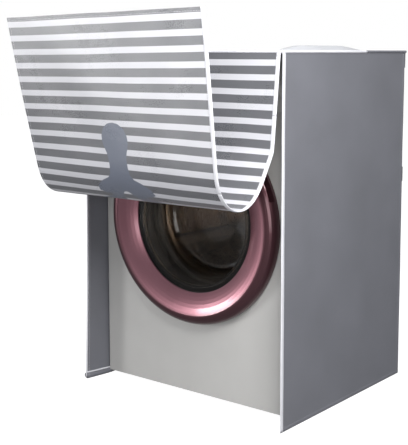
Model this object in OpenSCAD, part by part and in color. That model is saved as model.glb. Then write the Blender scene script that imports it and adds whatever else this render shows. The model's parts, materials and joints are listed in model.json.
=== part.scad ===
// Front-loading washing machine wearing a fitted cloth dust cover whose striped front flap is folded up.
// Frame: X to the right seen from the front, Y from the front to the back, Z up. The origin is on the
// floor at the middle of the whole footprint. Inside the modules Y is measured from the outer face of
// the front sheet, and in_frame() moves each piece to its place.

/* [Cabinet] */
// Width of the cabinet
cabinet_w = 600; // [590:2:640]
// Height of the worktop above the floor
cabinet_h = 856; // [842:2:880]
// Depth from the face of the front sheet to the back sheet
cabinet_d = 486; // [480:2:520]
// Thickness of the folded steel sheet
sheet_t = 1.2; // [0.8:0.1:1.6]
// Gap between the floor and the cabinet
foot_gap = 12; // [9:1:16]
// Thickness of the worktop
worktop_t = 22; // [16:1:26]
// Radius of the upright corners of the cabinet front
corner_r = 8; // [5:1:12]

/* [Controls] */
// Height of the control fascia
fascia_h = 112; // [106:1:116]
// Wall of the moulded fascia and drawer parts
plastic_t = 2.5; // [2:0.1:3]
// Width of the detergent drawer
drawer_w = 170; // [150:2:176]
// Depth of the detergent drawer behind its front
drawer_d = 200; // [160:5:215]
// Radius of the programme knob
knob_r = 26; // [20:1:32]
// How far the programme knob stands off the fascia
knob_h = 20; // [14:1:26]
// Travel of each push button
button_travel = 1.5; // [1:0.1:2]

/* [Door] */
// Height of the door centre above the floor
door_z = 448; // [444:1:456]
// Outer radius of the coloured door ring
ring_r = 256; // [250:1:260]
// Radius of the ring's crest
crest_r = 231; // [224:1:238]
// Radius of the ring's inner edge
ring_inner_r = 178; // [174:1:182]
// How far the crest stands off the front sheet
crest_h = 34; // [28:1:38]
// How far the ring's outer and inner edges stand off the front sheet
edge_h = 12; // [11:0.5:14]
// Wall of the moulded door parts
ring_t = 2.6; // [2:0.1:3]
// How far the hinge line stands off the front sheet
hinge_h = 11; // [10:0.5:13]
// Wall of the glass bowl
glass_t = 5; // [4:0.5:6]
// How far the glass bowl reaches behind the front sheet
bowl_depth = 96; // [88:1:100]

/* [Drum and tub] */
// Outer radius of the drum
drum_r = 236; // [230:1:240]
// Thickness of the drum sheet
drum_t = 1; // [0.8:0.1:1.4]
// Depth of the drum
drum_d = 312; // [290:2:316]
// Distance of the drum's front behind the front sheet
drum_y = 78; // [76:1:84]
// Radius of the drum's loading opening
drum_open_r = 158; // [154:1:164]
// Height of each drum lifter
lifter_h = 54; // [40:1:60]
// Radial gap between the drum and the tub
tub_gap = 14; // [12:1:16]
// Wall of the tub
tub_t = 4; // [3:0.5:5]
// Radius of the drum pulley
pulley_r = 138; // [120:1:150]
// Radius of the motor pulley
motor_pulley_r = 10; // [8:0.5:12]
// Length of the bearing hub behind the tub
hub_len = 34; // [32:1:36]
// Radius of the drum shaft
shaft_r = 15; // [12:0.5:17]
// Radius of the motor
motor_r = 58; // [50:1:62]

/* [Dust cover] */
// Thickness of the cover cloth
cloth_t = 1.6; // [1.2:0.1:2.4]
// Slack between the cover and the sides of the cabinet
cover_slack = 2; // [2:0.1:4]
// Slack between the cover and the back of the cabinet
cover_back_slack = 4; // [3:0.5:8]
// How far the cover's side panels reach ahead of the front sheet
cover_reach = 71; // [66:1:84]
// Height of the side panels' lower edge above the floor
cover_floor_gap = 2; // [2:0.5:6]
// Radius of the white binding
binding_r = 2.6; // [2:0.1:2.8]
// Drop of the cover's back hem
back_hem_h = 40; // [30:1:60]

/* [Front flap] */
// Width of the flap
flap_w = 594; // [560:2:596]
// Length of the strip that the flap is sewn on by
flap_seam_len = 18; // [14:1:24]
// Length of the flap's upper part, down to the first fold
flap_upper_len = 244; // [220:2:250]
// Length of each short strip of the fold
fold_len = 60; // [50:1:70]
// Length of the flap's lower part, which stands up in front
flap_lower_len = 350; // [300:2:352]
// Forward lean of the left edge where it hangs
left_lean = 5.3; // [3:0.1:8]
// Forward lean of the right edge where it hangs
right_lean = 7.8; // [3:0.1:9]
// Length down the left edge at which its turn starts
left_turn_from = 255; // [220:1:270]
// Length down the left edge at which its turn ends
left_turn_to = 502; // [480:1:570]
// Length down the right edge at which its turn starts
right_turn_from = 210; // [200:1:270]
// Length down the right edge at which its turn ends
right_turn_to = 559; // [480:1:570]
// Direction of the left edge where it stands up, counted from straight down
left_rise = 168.2; // [162:0.1:176]
// Direction of the right edge where it stands up, counted from straight down
right_rise = 174.7; // [162:0.1:176]
// How far the raised end is shifted to the left
flap_sway = 6; // [0:0.5:6]

/* [Hidden] */
$fn = 96;

running_gap = 0.05;  // a pin or shaft in its hole
seat_gap = 0.3;      // pieces of different bodies that lie close
eps = 0.01;

// Colours
rose = "#b5727e";
shell_white = "#d4d4d1";
dark_plastic = "#2c2d2c";
cloth_grey = "#86878b";
stripe_grey = "#a2a2a6";
binding_white = "#f2f2f4";
steel = "#b9bcc0";

// Cabinet levels
half_w = cabinet_w / 2;
worktop_z = cabinet_h - worktop_t;
fascia_z = worktop_z - fascia_h;
front_return = 18;   // depth of the front sheet's side returns
front_open_r = ring_inner_r - 5;
foot_inset = 48;
foot_r = 20;
foot_thread_r = 5;
pad_h = foot_gap - 4;

// Controls
fascia_face = 6;     // how far the fascia stands ahead of the front sheet
fascia_inner = fascia_face - plastic_t;
drawer_x = -half_w + 14 + drawer_w / 2;
drawer_h = fascia_h - 32;
drawer_z = fascia_z + 16;
board_y = 18;
knob_x = -38;
panel_mid_z = fascia_z + fascia_h / 2;
display_w = 92;
display_h = 36;
display_x = 64;
option_pitch = 42;
option_x0 = half_w - 150;
option_count = 2;
button_w = 26;
button_h = 10;
button_gap = 0.5;
start_x = half_w - 38;
power_x = -38;
button_row_z = panel_mid_z - 22;
power_z = panel_mid_z - knob_r - 16;
knob_z = panel_mid_z + 8;
stem_r = 3;

// Door
hinge_x = -ring_r + 5;
pin_r = 2.5;
knuckle_r = 4;
ear_z = 34;          // half the distance between the hinge ears
ear_t = 4;
ear_w = 6;
notch_z = ear_z + ear_t + 2;
grip_from = 16;      // angle of the finger grip's lower end above the horizontal
grip_sweep = 36;
door_back_h = 3;     // how far the door's back stands off the front sheet
frame_t = 2.6;
frame_face = door_back_h + frame_t;
hook_pivot = frame_face + 4.4;
hook_pin_r = 2;
hook_reach = 12;     // how far the hook reaches behind the front sheet
hook_w = 4;
bowl_front_r = ring_inner_r - 12;
bowl_back_r = ring_inner_r - 32;
bowl_round = 24;
lock_x = front_open_r + 24;

// Drum and tub
drum_depth = min(drum_d, cabinet_d - drum_y - 96);   // leaves room for pulley and belt
drum_back_y = drum_y + drum_depth;
tub_r = drum_r + tub_gap;
tub_front_y = drum_y - 14;
tub_back_y = drum_back_y + 12;
tub_split_y = drum_y + 130;
tub_open_r = drum_open_r + 8;
lifter_w = 66;
hub_r = 42;
bearing_or = 31;
bearing_w = 12;
pulley_y = tub_back_y + tub_t + hub_len + 6;
pulley_w = 14;
belt_t = 3;
flange_h = 8;        // how far the tub's clamping flange stands out
motor_x = 92;
motor_z = 112;
motor_len = 150;
motor_y = pulley_y - 20 - motor_len;

// Cover
side_in = half_w + cover_slack;
side_out = side_in + cloth_t;
side_mid = side_in + cloth_t / 2;
top_in = cabinet_h + seat_gap;
pipe_z = top_in + cloth_t / 2;
cover_back_y = cabinet_d + cover_back_slack + cloth_t;

// Inlet and drain
inlet_r = 13.2;
inlet_x = -half_w + 110;
inlet_z = cabinet_h - 96;
inlet_end = cabinet_d + 8;
drain_x = -half_w + 114;
drain_r = 10;
spigot_r = 9.5;
spigot_room = 6.5;   // between the spigot and the edge of its hole
pump_y = 120;
pump_z = foot_gap + 20;
pump_h = 44;
drain_z = pump_z + 26;
drain_end = cabinet_d + 8;

// The flap's two edges in the Y-Z plane, as points at the seam, at each fold line, once on the way
// up and at the free end. Each edge leans, turns round and rises in its own way, so the cloth twists.
flap_t = cloth_t;
bead_r = flap_t / 2 + 0.4;
seam = [-cover_reach, pipe_z];
fold_count = 4;
rise_share = 0.2;    // of the lower part, up to where it has straightened out
flap_lens = concat([flap_seam_len, flap_upper_len], [for (k = [1 : fold_count]) fold_len],
    [rise_share * flap_lower_len, (1 - rise_share) * flap_lower_len]);
flap_last = len(flap_lens);
left_edge = [left_lean, left_turn_from, left_turn_to, left_rise];
right_edge = [right_lean, right_turn_from, right_turn_to, right_rise];
function flap_stop(i) = i == 0 ? 0 : flap_stop(i - 1) + flap_lens[i - 1];
function eased(u) = u <= 0 ? 0 : u >= 1 ? 1 : u * u * (3 - 2 * u);
function edge_turn(e, s) = e[0] + (e[3] - e[0]) * eased((s - e[1]) / (e[2] - e[1]));
function strip_turn(e, i) = (edge_turn(e, flap_stop(i)) + 4 * edge_turn(e, flap_stop(i) + flap_lens[i] / 2)
    + edge_turn(e, flap_stop(i + 1))) / 6;
function edge_point(e, i) = i == 0 ? seam
    : edge_point(e, i - 1) - flap_lens[i - 1] * [sin(strip_turn(e, i - 1)), cos(strip_turn(e, i - 1))];
left_points = [for (i = [0 : flap_last]) edge_point(left_edge, i)];
right_points = [for (i = [0 : flap_last]) edge_point(right_edge, i)];
function sway(i) = flap_sway * max(0, (flap_stop(i) - 400) / (flap_stop(flap_last) - 400));

// Place of the front sheet, so that the footprint is centred on the origin
front_reach = -min(left_points[flap_last][0], right_points[flap_last][0]) + bead_r;
back_reach = max(cover_back_y, inlet_end, drain_end);
front_y = (front_reach - back_reach) / 2;

// ---- Shared shapes ----

module in_frame() translate([0, front_y, 0]) children();

// A rectangle with round corners, centred on the origin
module round_square(size, r) {
    square([size[0] - 2 * r, size[1]], center = true);
    square([size[0], size[1] - 2 * r], center = true);
    for (sx = [-1, 1], sy = [-1, 1])
        translate([sx * (size[0] / 2 - r), sy * (size[1] / 2 - r)]) circle(r);
}

// A round-cornered plate in the X-Z plane: its face is at y0 and it runs back to y1
module plate(x, z, w, h, r, y0, y1)
    translate([x, y1, z]) rotate([90, 0, 0]) linear_extrude(y1 - y0) round_square([w, h], r);

// A cylinder along Y
module rod_y(x, z, r, y0, y1) translate([x, y1, z]) rotate([90, 0, 0]) cylinder(r = r, h = y1 - y0);

// A cylinder along X, centred on x
module rod_x(x, y, z, r, w) translate([x, y, z]) rotate([0, 90, 0]) cylinder(r = r, h = w, center = true);

// Turns a profile of [radius, y] points about the door and drum axis
module spin_profile(points)
    translate([0, 0, door_z]) rotate([-90, 0, 0]) rotate_extrude() polygon(points);

// A tube profile: r0 to r1, y0 to y1
module ring(r0, r1, y0, y1) spin_profile([[r0, y0], [r1, y0], [r1, y1], [r0, y1]]);

// A band of even thickness along a path of [radius, y] points
function unit(v) = v / norm(v);
function normal_at(p, i) = let (a = p[max(i - 1, 0)], b = p[min(i + 1, len(p) - 1)], d = unit(b - a)) [-d[1], d[0]];
function band(p, t) = concat(
    [for (i = [0 : len(p) - 1]) p[i] + normal_at(p, i) * t / 2],
    [for (i = [len(p) - 1 : -1 : 0]) p[i] - normal_at(p, i) * t / 2]);

// The plan of a folded sheet pan, open at the back
module pan_plan(w, depth, r, t) difference() {
    translate([0, depth]) round_square([w, 2 * depth], r);
    translate([0, depth]) round_square([w - 2 * t, 2 * (depth - t)], r - t);
    translate([-w, depth]) square([2 * w, 2 * depth]);
}

// ---- Cabinet ----

service_w = 360;
service_h = 400;
module cabinet_shell() color(shell_white) in_frame() difference() {
    translate([-half_w, front_return, foot_gap])
        cube([cabinet_w, cabinet_d - front_return, worktop_z - foot_gap]);
    translate([-half_w + sheet_t, front_return - 1, foot_gap - 1])
        cube([cabinet_w - 2 * sheet_t, cabinet_d - front_return - sheet_t + 1, worktop_z - foot_gap + 2]);
    plate(0, door_z - 20, service_w, service_h, 12, cabinet_d - 5, cabinet_d + 5);
    rod_y(inlet_x, inlet_z, inlet_r + 6, cabinet_d - 5, cabinet_d + 5);
    rod_y(drain_x, drain_z, spigot_r + spigot_room, cabinet_d - 5, cabinet_d + 5);
}

module front_panel() color(shell_white) in_frame() {
    difference() {
        translate([0, 0, foot_gap]) linear_extrude(fascia_z - foot_gap)
            pan_plan(cabinet_w, front_return, corner_r, sheet_t);
        rod_y(0, door_z, front_open_r, -5, front_return);
        // slots for the hinge ears
        for (s = [-1, 1])
            translate([hinge_x, 0, door_z + s * ear_z]) cube([ear_w + 4, 12, ear_t + 2], center = true);
        // window for the lock
        translate([lock_x, 0, door_z]) cube([16, 12, 26], center = true);
    }
    // rolled flange that holds the gasket
    ring(front_open_r, front_open_r + sheet_t, 0, 9);
}

module worktop() color("#dcdcda") in_frame() translate([0, cabinet_d / 2, worktop_z])
    linear_extrude(worktop_t) round_square([cabinet_w, cabinet_d + 2 * 2], corner_r);

tray_h = 28;
tray_t = 2;
module tray_block(inset, z0, h) translate([0, cabinet_d / 2, z0]) linear_extrude(h)
    round_square([cabinet_w - 2 * inset, cabinet_d - 2 * inset], max(1, corner_r - inset));
module base_tray() color("#3b3c3e") in_frame() difference() {
    tray_block(sheet_t, foot_gap, tray_h);
    difference() {
        tray_block(sheet_t + tray_t, foot_gap + tray_t, tray_h);
        // corner bosses that the feet screw into
        for (x = [-1, 1], y = [foot_inset, cabinet_d - foot_inset])
            translate([x * (half_w - foot_inset), y, foot_gap]) cylinder(r = 14, h = tray_h - 4);
        // pump bosses
        for (x = [-1, 1])
            translate([x * 34, pump_y, foot_gap]) cylinder(r = 8, h = pump_z - foot_gap);
        // damper lugs
        for (x = [-1, 1])
            translate([x * damper_foot_x - 8, damper_y - 20, foot_gap]) cube([16, 40, tray_h]);
    }
    for (x = [-1, 1], y = [foot_inset, cabinet_d - foot_inset])
        translate([x * (half_w - foot_inset), y, foot_gap - 1]) cylinder(r = foot_thread_r + running_gap, h = tray_h + 2);
}

module levelling_feet() color("#4a4b4c") in_frame()
    for (x = [-1, 1], y = [foot_inset, cabinet_d - foot_inset])
        translate([x * (half_w - foot_inset), y, 0]) {
            cylinder(r1 = foot_r - 2, r2 = foot_r, h = 2);
            translate([0, 0, 2]) cylinder(r = foot_r, h = pad_h - 2);
            translate([0, 0, pad_h]) cylinder(r = 9, h = foot_gap - pad_h, $fn = 6);
            translate([0, 0, foot_gap]) cylinder(r = foot_thread_r, h = tray_h - 8);
        }

module back_service_panel() color(steel) in_frame() difference() {
    union() {
        plate(0, door_z - 20, service_w + 24, service_h + 24, 14, cabinet_d, cabinet_d + sheet_t);
        for (x = [-1, 1], z = [-1, 0, 1])
            rod_y(x * (service_w / 2 + 6), door_z - 20 + z * (service_h / 2 - 20), 4,
                cabinet_d + sheet_t, cabinet_d + sheet_t + 1.6);
    }
    // pressed vents
    for (k = [-3 : 3])
        plate(0, door_z - 160 + k * 9, 90, 3, 1.4, cabinet_d - 1, cabinet_d + 3);
}

// ---- Controls ----

module control_fascia() color("#e3e3e1") in_frame() difference() {
    union() {
        translate([0, -fascia_face, fascia_z]) linear_extrude(fascia_h)
            pan_plan(cabinet_w, front_return + fascia_face, corner_r, plastic_t);
        // posts that carry the circuit board
        for (x = [knob_x - 42, display_x, start_x + 20], z = [-1, 1])
            rod_y(x, panel_mid_z + z * 42, 4, -fascia_inner - eps, board_y);
    }
    plate(drawer_x, drawer_z + drawer_h / 2, drawer_w, drawer_h, 4, -20, 10);
    plate(display_x, panel_mid_z + 10, display_w, display_h, 4, -20, 10);
    rod_y(knob_x, knob_z, stem_r + 2, -20, 10);
    rod_y(power_x, power_z, 6 + button_gap, -20, 10);
    plate(start_x, button_row_z + 14, 28 + 2 * button_gap, 28 + 2 * button_gap, 14, -20, 10);
    for (i = [0 : option_count - 1])
        plate(option_x0 + i * option_pitch, button_row_z, button_w + 2 * button_gap,
            button_h + 2 * button_gap, 4, -20, 10);
}

module display_window() color("#141618") in_frame() {
    plate(display_x, panel_mid_z + 10, display_w, display_h, 4, -fascia_face - 0.4, -fascia_inner);
    plate(display_x, panel_mid_z + 10, display_w - 10, display_h - 8, 2, -fascia_inner, board_y - 6);
}

switch_h = 4;
module control_board() color("#2f6b47") in_frame() difference() {
    union() {
        plate((knob_x - 42 + start_x + 20) / 2, panel_mid_z, start_x + 20 - knob_x + 42 + 12, 92, 3, board_y, board_y + 1.6);
        plate(display_x, panel_mid_z + 10, display_w - 10, display_h - 8, 2, board_y - 6, board_y);
        // rotary switch behind the knob
        rod_y(knob_x, knob_z, 12, board_y - 10, board_y);
        // push switches
        rod_y(power_x, power_z, 4, board_y - switch_h, board_y);
        rod_y(start_x, button_row_z + 14, 4, board_y - switch_h, board_y);
        for (i = [0 : option_count - 1])
            rod_y(option_x0 + i * option_pitch, button_row_z, 4, board_y - switch_h, board_y);
    }
    rod_y(knob_x, knob_z, stem_r + running_gap, board_y - 11, board_y + 5);
}

knob_face = fascia_face + 1;
knob_flange_h = 3;
flute_count = 24;
module programme_knob() color("#e9e9e7") in_frame() difference() {
    union() {
        translate([knob_x, -knob_face, knob_z]) rotate([90, 0, 0]) {
            cylinder(r = knob_r, h = knob_flange_h);
            // fluted grip
            linear_extrude(knob_h - 1.5) difference() {
                circle(knob_r - 4);
                for (k = [0 : flute_count - 1]) rotate(k * 360 / flute_count)
                    translate([knob_r - 3.6, 0]) circle(1.4);
            }
            cylinder(r = knob_r - 6.5, h = knob_h);
        }
        rod_y(knob_x, knob_z, stem_r, -knob_face - 1, board_y - 0.5);
    }
    // pointer groove
    translate([knob_x - 1, -knob_face - knob_h - 1, knob_z + knob_r - 20]) cube([2, 2, 11]);
}

// A push button: a cap, and a stem that stops short of its switch by the button's travel
module push_stem(x, z) rod_y(x, z, stem_r, -fascia_inner + 1, board_y - switch_h - button_travel - 0.2);

module power_button() color("#c9cacb") in_frame() {
    rod_y(power_x, power_z, 6, -fascia_face - 2.5, -fascia_inner + 1);
    push_stem(power_x, power_z);
}

module start_button() color(rose) in_frame() {
    plate(start_x, button_row_z + 14, 28, 28, 14 - eps, -fascia_face - 2.5, -fascia_inner + 1);
    push_stem(start_x, button_row_z + 14);
}

module option_button(i) color("#c9cacb") in_frame() {
    plate(option_x0 + i * option_pitch, button_row_z, button_w, button_h, 3.5,
        -fascia_face - 2.5, -fascia_inner + 1);
    push_stem(option_x0 + i * option_pitch, button_row_z);
}

// ---- Detergent drawer ----

tray_gap = 1;        // slide gap round the drawer tray
tray_w = drawer_w - 14;
tray_high = drawer_h - 24;
tray_z = drawer_z + 12;
tray_y = 4;
housing_d = drawer_d + 30;
hose_y = drawer_d - 10;
hose_bore_r = 18;
module drawer_housing() color("#d8d9d8") in_frame() difference() {
    union() {
        translate([drawer_x - tray_w / 2 - tray_gap - plastic_t, tray_y + seat_gap, tray_z - tray_gap - plastic_t])
            cube([tray_w + 2 * (tray_gap + plastic_t), housing_d, tray_high + 2 * plastic_t + 6]);
        translate([drawer_x, hose_y, tray_z - 30]) cylinder(r = hose_bore_r - seat_gap, h = 30);
    }
    translate([drawer_x - tray_w / 2 - tray_gap, tray_y - 1, tray_z - tray_gap])
        cube([tray_w + 2 * tray_gap, housing_d - plastic_t + 1, tray_high + 6]);
    translate([drawer_x, hose_y, tray_z - 31]) cylinder(r = hose_bore_r - 4, h = 40);
}

module detergent_drawer() color("#e9e9e7") in_frame() {
    // handle front with a finger hollow on its lower edge
    difference() {
        plate(drawer_x, drawer_z + drawer_h / 2, drawer_w - 2 * button_gap, drawer_h - 2 * button_gap,
            3.5, -fascia_face - 3, tray_y);
        plate(drawer_x, drawer_z + 12, drawer_w - 60, 16, 6, -fascia_face - 10, -fascia_face + 5);
    }
    // tray with three compartments
    difference() {
        translate([drawer_x - tray_w / 2, tray_y - eps, tray_z]) cube([tray_w, drawer_d, tray_high]);
        for (k = [0 : 2]) {
            w = (tray_w - 4 * plastic_t) / 3;
            translate([drawer_x - tray_w / 2 + plastic_t + k * (w + plastic_t), tray_y + plastic_t, tray_z + plastic_t])
                cube([w, drawer_d - 2 * plastic_t, tray_high]);
        }
    }
}

module siphon_cap() color("#6f8fb4") in_frame() {
    w = (tray_w - 4 * plastic_t) / 3;
    x = drawer_x;
    difference() {
        translate([x - w / 2 + 0.5, drawer_d - 56, tray_z + tray_high - 16]) cube([w - 1, 50, 4]);
        translate([x, drawer_d - 31, tray_z]) cylinder(r = 4.5, h = tray_high);
    }
    translate([x, drawer_d - 31, tray_z + plastic_t + 0.1]) difference() {
        cylinder(r = 7, h = tray_high - 16 - plastic_t);
        translate([0, 0, -1]) cylinder(r = 4.5, h = tray_high);
    }
}

module inlet_valve() color("#dfe3e6") in_frame() difference() {
    union() {
        rod_y(inlet_x, inlet_z, inlet_r, cabinet_d - 26, inlet_end);
        rod_y(inlet_x, inlet_z, inlet_r + 5, cabinet_d - 26, cabinet_d - sheet_t);
        translate([inlet_x - 18, cabinet_d - 66, inlet_z - 18]) cube([36, 40, 36]);
        // screw flange against the inside of the back sheet
        plate(inlet_x, inlet_z, 64, 44, 6, cabinet_d - sheet_t - 3, cabinet_d - sheet_t);
        // outlet that points at the drawer housing
        rod_y(inlet_x, inlet_z, 8, tray_y + seat_gap + housing_d, cabinet_d - 60);
    }
    rod_y(inlet_x, inlet_z, 9, cabinet_d - 12, inlet_end + 1);
}

// Corrugated sleeve down from z1 to z0
module bellows_hose(x, y, z0, z1, r, wall, pitch) translate([x, y, z0]) rotate_extrude() {
    count = floor((z1 - z0) / pitch);
    step = (z1 - z0) / count;
    outer = [for (k = [0 : 2 * count]) [r + (k % 2 == 0 ? 0 : 3), k * step / 2]];
    inner = [for (k = [2 * count : -1 : 0]) [r - wall + (k % 2 == 0 ? 0 : 3), k * step / 2]];
    polygon(concat(outer, inner));
}

// The dispenser's hose to the tub, and the sump's hose to the pump
hose_spigot_top = door_z + 212;
sump_bore_r = 23;
sump_spigot_z = door_z - tub_r - 44;
module bellows_hoses() color("#33383c") in_frame() {
    bellows_hose(drawer_x, hose_y, hose_spigot_top - 16, tray_z - 20, hose_bore_r + 3, 3, 14);
    bellows_hose(0, pump_y, pump_z + pump_h + 16, sump_spigot_z + 18, sump_bore_r + 3, 3, 14);
}

// ---- Door ----

// Outer surface of the door ring from its back edge over the crest to the inner lip, as [radius, y]
ring_profile = concat(
    [[ring_r - 1, -door_back_h], [ring_r, -door_back_h - 1.5], [ring_r, -edge_h]],
    [for (a = [15 : 15 : 75]) [crest_r + (ring_r - crest_r) * cos(a), -edge_h - (crest_h - edge_h) * sin(a)]],
    [[crest_r, -crest_h]],
    [for (k = [1 : 6]) let (u = k / 6) [crest_r + (ring_inner_r - crest_r) * u,
        -crest_h + (crest_h - edge_h) * (0.55 * u * u + 0.45 * u)]]);

module door_ring() color(rose) in_frame() difference() {
    spin_profile(concat(ring_profile, [[ring_inner_r, -edge_h + ring_t]],
        [for (i = [len(ring_profile) - 2 : -1 : 2]) ring_profile[i] + [
            ring_profile[i][0] > crest_r + 3 ? -ring_t : 0, ring_t]],
        [[ring_r - ring_t, -door_back_h]]));
    hinge_notch(door_back_h - 1);
    grip_sector(grip_face_r, ring_r + 5, -grip_y0, -grip_y1, 0);
}

// Room round the hinge knuckles at the door's edge
module hinge_notch(y_back) translate([hinge_x - 11, -hinge_h - ear_w - 0.5, door_z - notch_z])
    cube([11 + knuckle_r + 0.5, hinge_h + ear_w + 0.5 - y_back, 2 * notch_z]);

// A finger grip let into the ring's flank: a sector between two radii, with its ends drawn in
grip_y0 = 26;
grip_y1 = 13;
grip_face_r = ring_r - 18;
module grip_sector(r0, r1, y0, y1, inset) translate([0, 0, door_z])
    rotate([-90, -grip_from - grip_sweep + inset, 0]) rotate_extrude(angle = grip_sweep - 2 * inset)
        polygon([[r0, y0], [r1, y0], [r1, y1], [r0, y1]]);
module door_grip() color(dark_plastic) in_frame() intersection() {
    difference() {
        grip_sector(grip_face_r - 2, ring_r - ring_t - 1, -grip_y0 - 1, -grip_y1 + 3, -0.6);
        grip_sector(grip_face_r, ring_r, -grip_y0 + 1, -grip_y1 + 1, 0);
    }
    // stays inside the ring's shell
    spin_profile(concat([[grip_face_r - 10, 0]],
        [for (i = [len(ring_profile) - 2 : -1 : 2]) if (ring_profile[i][0] > grip_face_r - 10) ring_profile[i]
            + [ring_profile[i][0] > crest_r + 3 ? -ring_t - 0.1 : 0, ring_t + 0.1]],
        [[ring_r - ring_t - 0.1, 0]]));
}

module door_frame() color(dark_plastic) in_frame() difference() {
    union() {
        ring(bowl_front_r + 1, ring_r - ring_t - 0.5, -frame_face, -door_back_h);
        // collar round the glass rim
        ring(ring_inner_r - 1.5, ring_inner_r + 1.5, -edge_h + ring_t, -frame_face + eps);
        // ears that carry the hook's pin
        for (s = [-1, 1]) translate([lock_x - 4, -hook_pivot - 4, door_z + s * 12 - 1.5])
            cube([8, hook_pivot + 4 - frame_face + eps, 3]);
    }
    hinge_notch(door_back_h - 1);
    // slot for the hook
    translate([lock_x - 6, -frame_face - 1, door_z - 10]) cube([14, frame_t + 2, 20]);
    // bore for the hook's pin
    translate([lock_x, -hook_pivot, door_z]) cylinder(r = hook_pin_r, h = 40, center = true);
}

// Outer (rear) surface of the bowl as [radius, y], from the rim to the middle of the dome
bowl_rear = concat(
    [[bowl_front_r, -frame_face], [bowl_front_r, 0], [bowl_back_r, bowl_depth - bowl_round - 6]],
    [for (a = [20 : 20 : 80]) [bowl_back_r - bowl_round * (1 - cos(a)), bowl_depth - bowl_round - 6 + bowl_round * sin(a)]],
    [[bowl_back_r - bowl_round, bowl_depth - 6], [bowl_back_r * 0.45, bowl_depth - 1.5], [0, bowl_depth]]);
module door_glass() color("#8fa3a8", 0.4) in_frame() spin_profile(concat(
    [[ring_inner_r - 2, -edge_h + ring_t + 0.2], [ring_inner_r - 2, -frame_face]], bowl_rear,
    [[0, bowl_depth - glass_t], [bowl_back_r * 0.45, bowl_depth - 1.5 - glass_t],
        [bowl_back_r - bowl_round, bowl_depth - 6 - glass_t]],
    [for (a = [80 : -20 : 20]) [bowl_back_r - bowl_round + (bowl_round - glass_t) * cos(a),
        bowl_depth - bowl_round - 6 + (bowl_round - glass_t) * sin(a)]],
    [[bowl_back_r - glass_t, bowl_depth - bowl_round - 6], [bowl_front_r - glass_t, 0],
        [bowl_front_r - glass_t, -edge_h + ring_t + 0.2]]));

module door_hook() color(steel) in_frame() difference() {
    union() {
        translate([lock_x, -hook_pivot, door_z]) cylinder(r = 4, h = 20, center = true);
        plate(lock_x, door_z, hook_w, 18, 1.9, -hook_pivot, hook_reach);
        plate(lock_x + 2, door_z, 2 * hook_w, 18, 1.9, hook_reach - 3.5, hook_reach);
    }
    translate([lock_x, -hook_pivot, door_z]) cylinder(r = hook_pin_r + running_gap, h = 40, center = true);
}

module hook_pin() color("#8d9095") in_frame()
    translate([lock_x, -hook_pivot, door_z]) cylinder(r = hook_pin_r, h = 27, center = true);

arm_h = 2 * ear_z - 24;
module door_hinge_arm() color(steel) in_frame() difference() {
    union() {
        plate(hinge_x + 32, door_z, 44, arm_h, 5, -frame_face - 2.4, -frame_face);
        translate([hinge_x, -hinge_h, door_z]) cylinder(r = knuckle_r, h = 2 * ear_z - ear_t - 1, center = true);
        translate([hinge_x, -hinge_h - 1.2, door_z - arm_h / 2]) cube([14, 2.4, arm_h]);
        translate([hinge_x + 11.6, -hinge_h - 1.2, door_z - arm_h / 2]) cube([2.4, hinge_h + 1.2 - frame_face, arm_h]);
    }
    translate([hinge_x, -hinge_h, door_z]) cylinder(r = pin_r + running_gap, h = 3 * ear_z, center = true);
}

module door_hinge_bracket() color(steel) in_frame() difference() {
    union() {
        // plate behind the front sheet
        plate(hinge_x + 1, door_z, 34, 2 * ear_z + 30, 4, sheet_t, sheet_t + 2);
        for (s = [-1, 1]) {
            translate([hinge_x, -hinge_h, door_z + s * ear_z]) cylinder(r = knuckle_r, h = ear_t, center = true);
            translate([hinge_x - ear_w / 2, -hinge_h, door_z + s * ear_z - ear_t / 2])
                cube([ear_w, hinge_h + sheet_t + 1, ear_t]);
        }
    }
    translate([hinge_x, -hinge_h, door_z]) cylinder(r = pin_r, h = 3 * ear_z, center = true);
}

module door_hinge_pin() color("#8d9095") in_frame()
    translate([hinge_x, -hinge_h, door_z]) cylinder(r = pin_r, h = 2 * ear_z + ear_t, center = true);

module door_lock() color("#3a3d40") in_frame() difference() {
    plate(lock_x + 14, door_z, 54, 90, 5, sheet_t, sheet_t + 24);
    translate([lock_x - 7, sheet_t - 1, door_z - 12]) cube([17, 22, 24]);
}

// ---- Gasket, drum and tub ----

// Centre line of the bellows gasket: from its grip round the front sheet's flange, over the lip that
// meets the glass, through one fold to its grip round the tub's collar
gasket_t = 3;
function bowl_wall_r(y) = bowl_front_r - (bowl_front_r - bowl_back_r) * y / (bowl_depth - bowl_round - 6);
flange_d = 9;
grip_r = front_open_r + sheet_t + 0.1 + gasket_t / 2;
collar_r = tub_open_r + 4;
collar_d = 10;
gasket_path = [
    [grip_r, flange_d - 6], [grip_r, flange_d + 0.1 + gasket_t / 2], [grip_r - 6.8, flange_d + 2.4],
    [grip_r - 10.8, flange_d + 7], [bowl_wall_r(23) + 2.6, 23], [bowl_wall_r(28) + 3.2, 28],
    [bowl_wall_r(32) + 7.5, 32], [grip_r - 4, 33.5], [grip_r + 4, 35], [grip_r + 6.5, 39],
    [grip_r + 3.5, 43], [collar_r + 4, 45.5], [collar_r + 0.1 + gasket_t / 2, 50],
    [collar_r + 0.1 + gasket_t / 2, tub_front_y - 3]];
module door_gasket() color("#55595c") in_frame() spin_profile(band(gasket_path, gasket_t));

function drum_angle(k) = 90 + 120 * k;

module drum_front() color(steel) in_frame() spin_profile([
    [drum_open_r, drum_y + 12], [drum_open_r, drum_y + 4], [drum_open_r + 4, drum_y], [drum_open_r + 10, drum_y],
    [drum_r - 16, drum_y + 8], [drum_r - drum_t, drum_y + 10], [drum_r - drum_t, drum_y + 10 + drum_t],
    [drum_r - 16, drum_y + 8 + drum_t], [drum_open_r + 10, drum_y + drum_t], [drum_open_r + 4.4, drum_y + drum_t],
    [drum_open_r + drum_t, drum_y + 4.4], [drum_open_r + drum_t, drum_y + 12]]);

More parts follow.
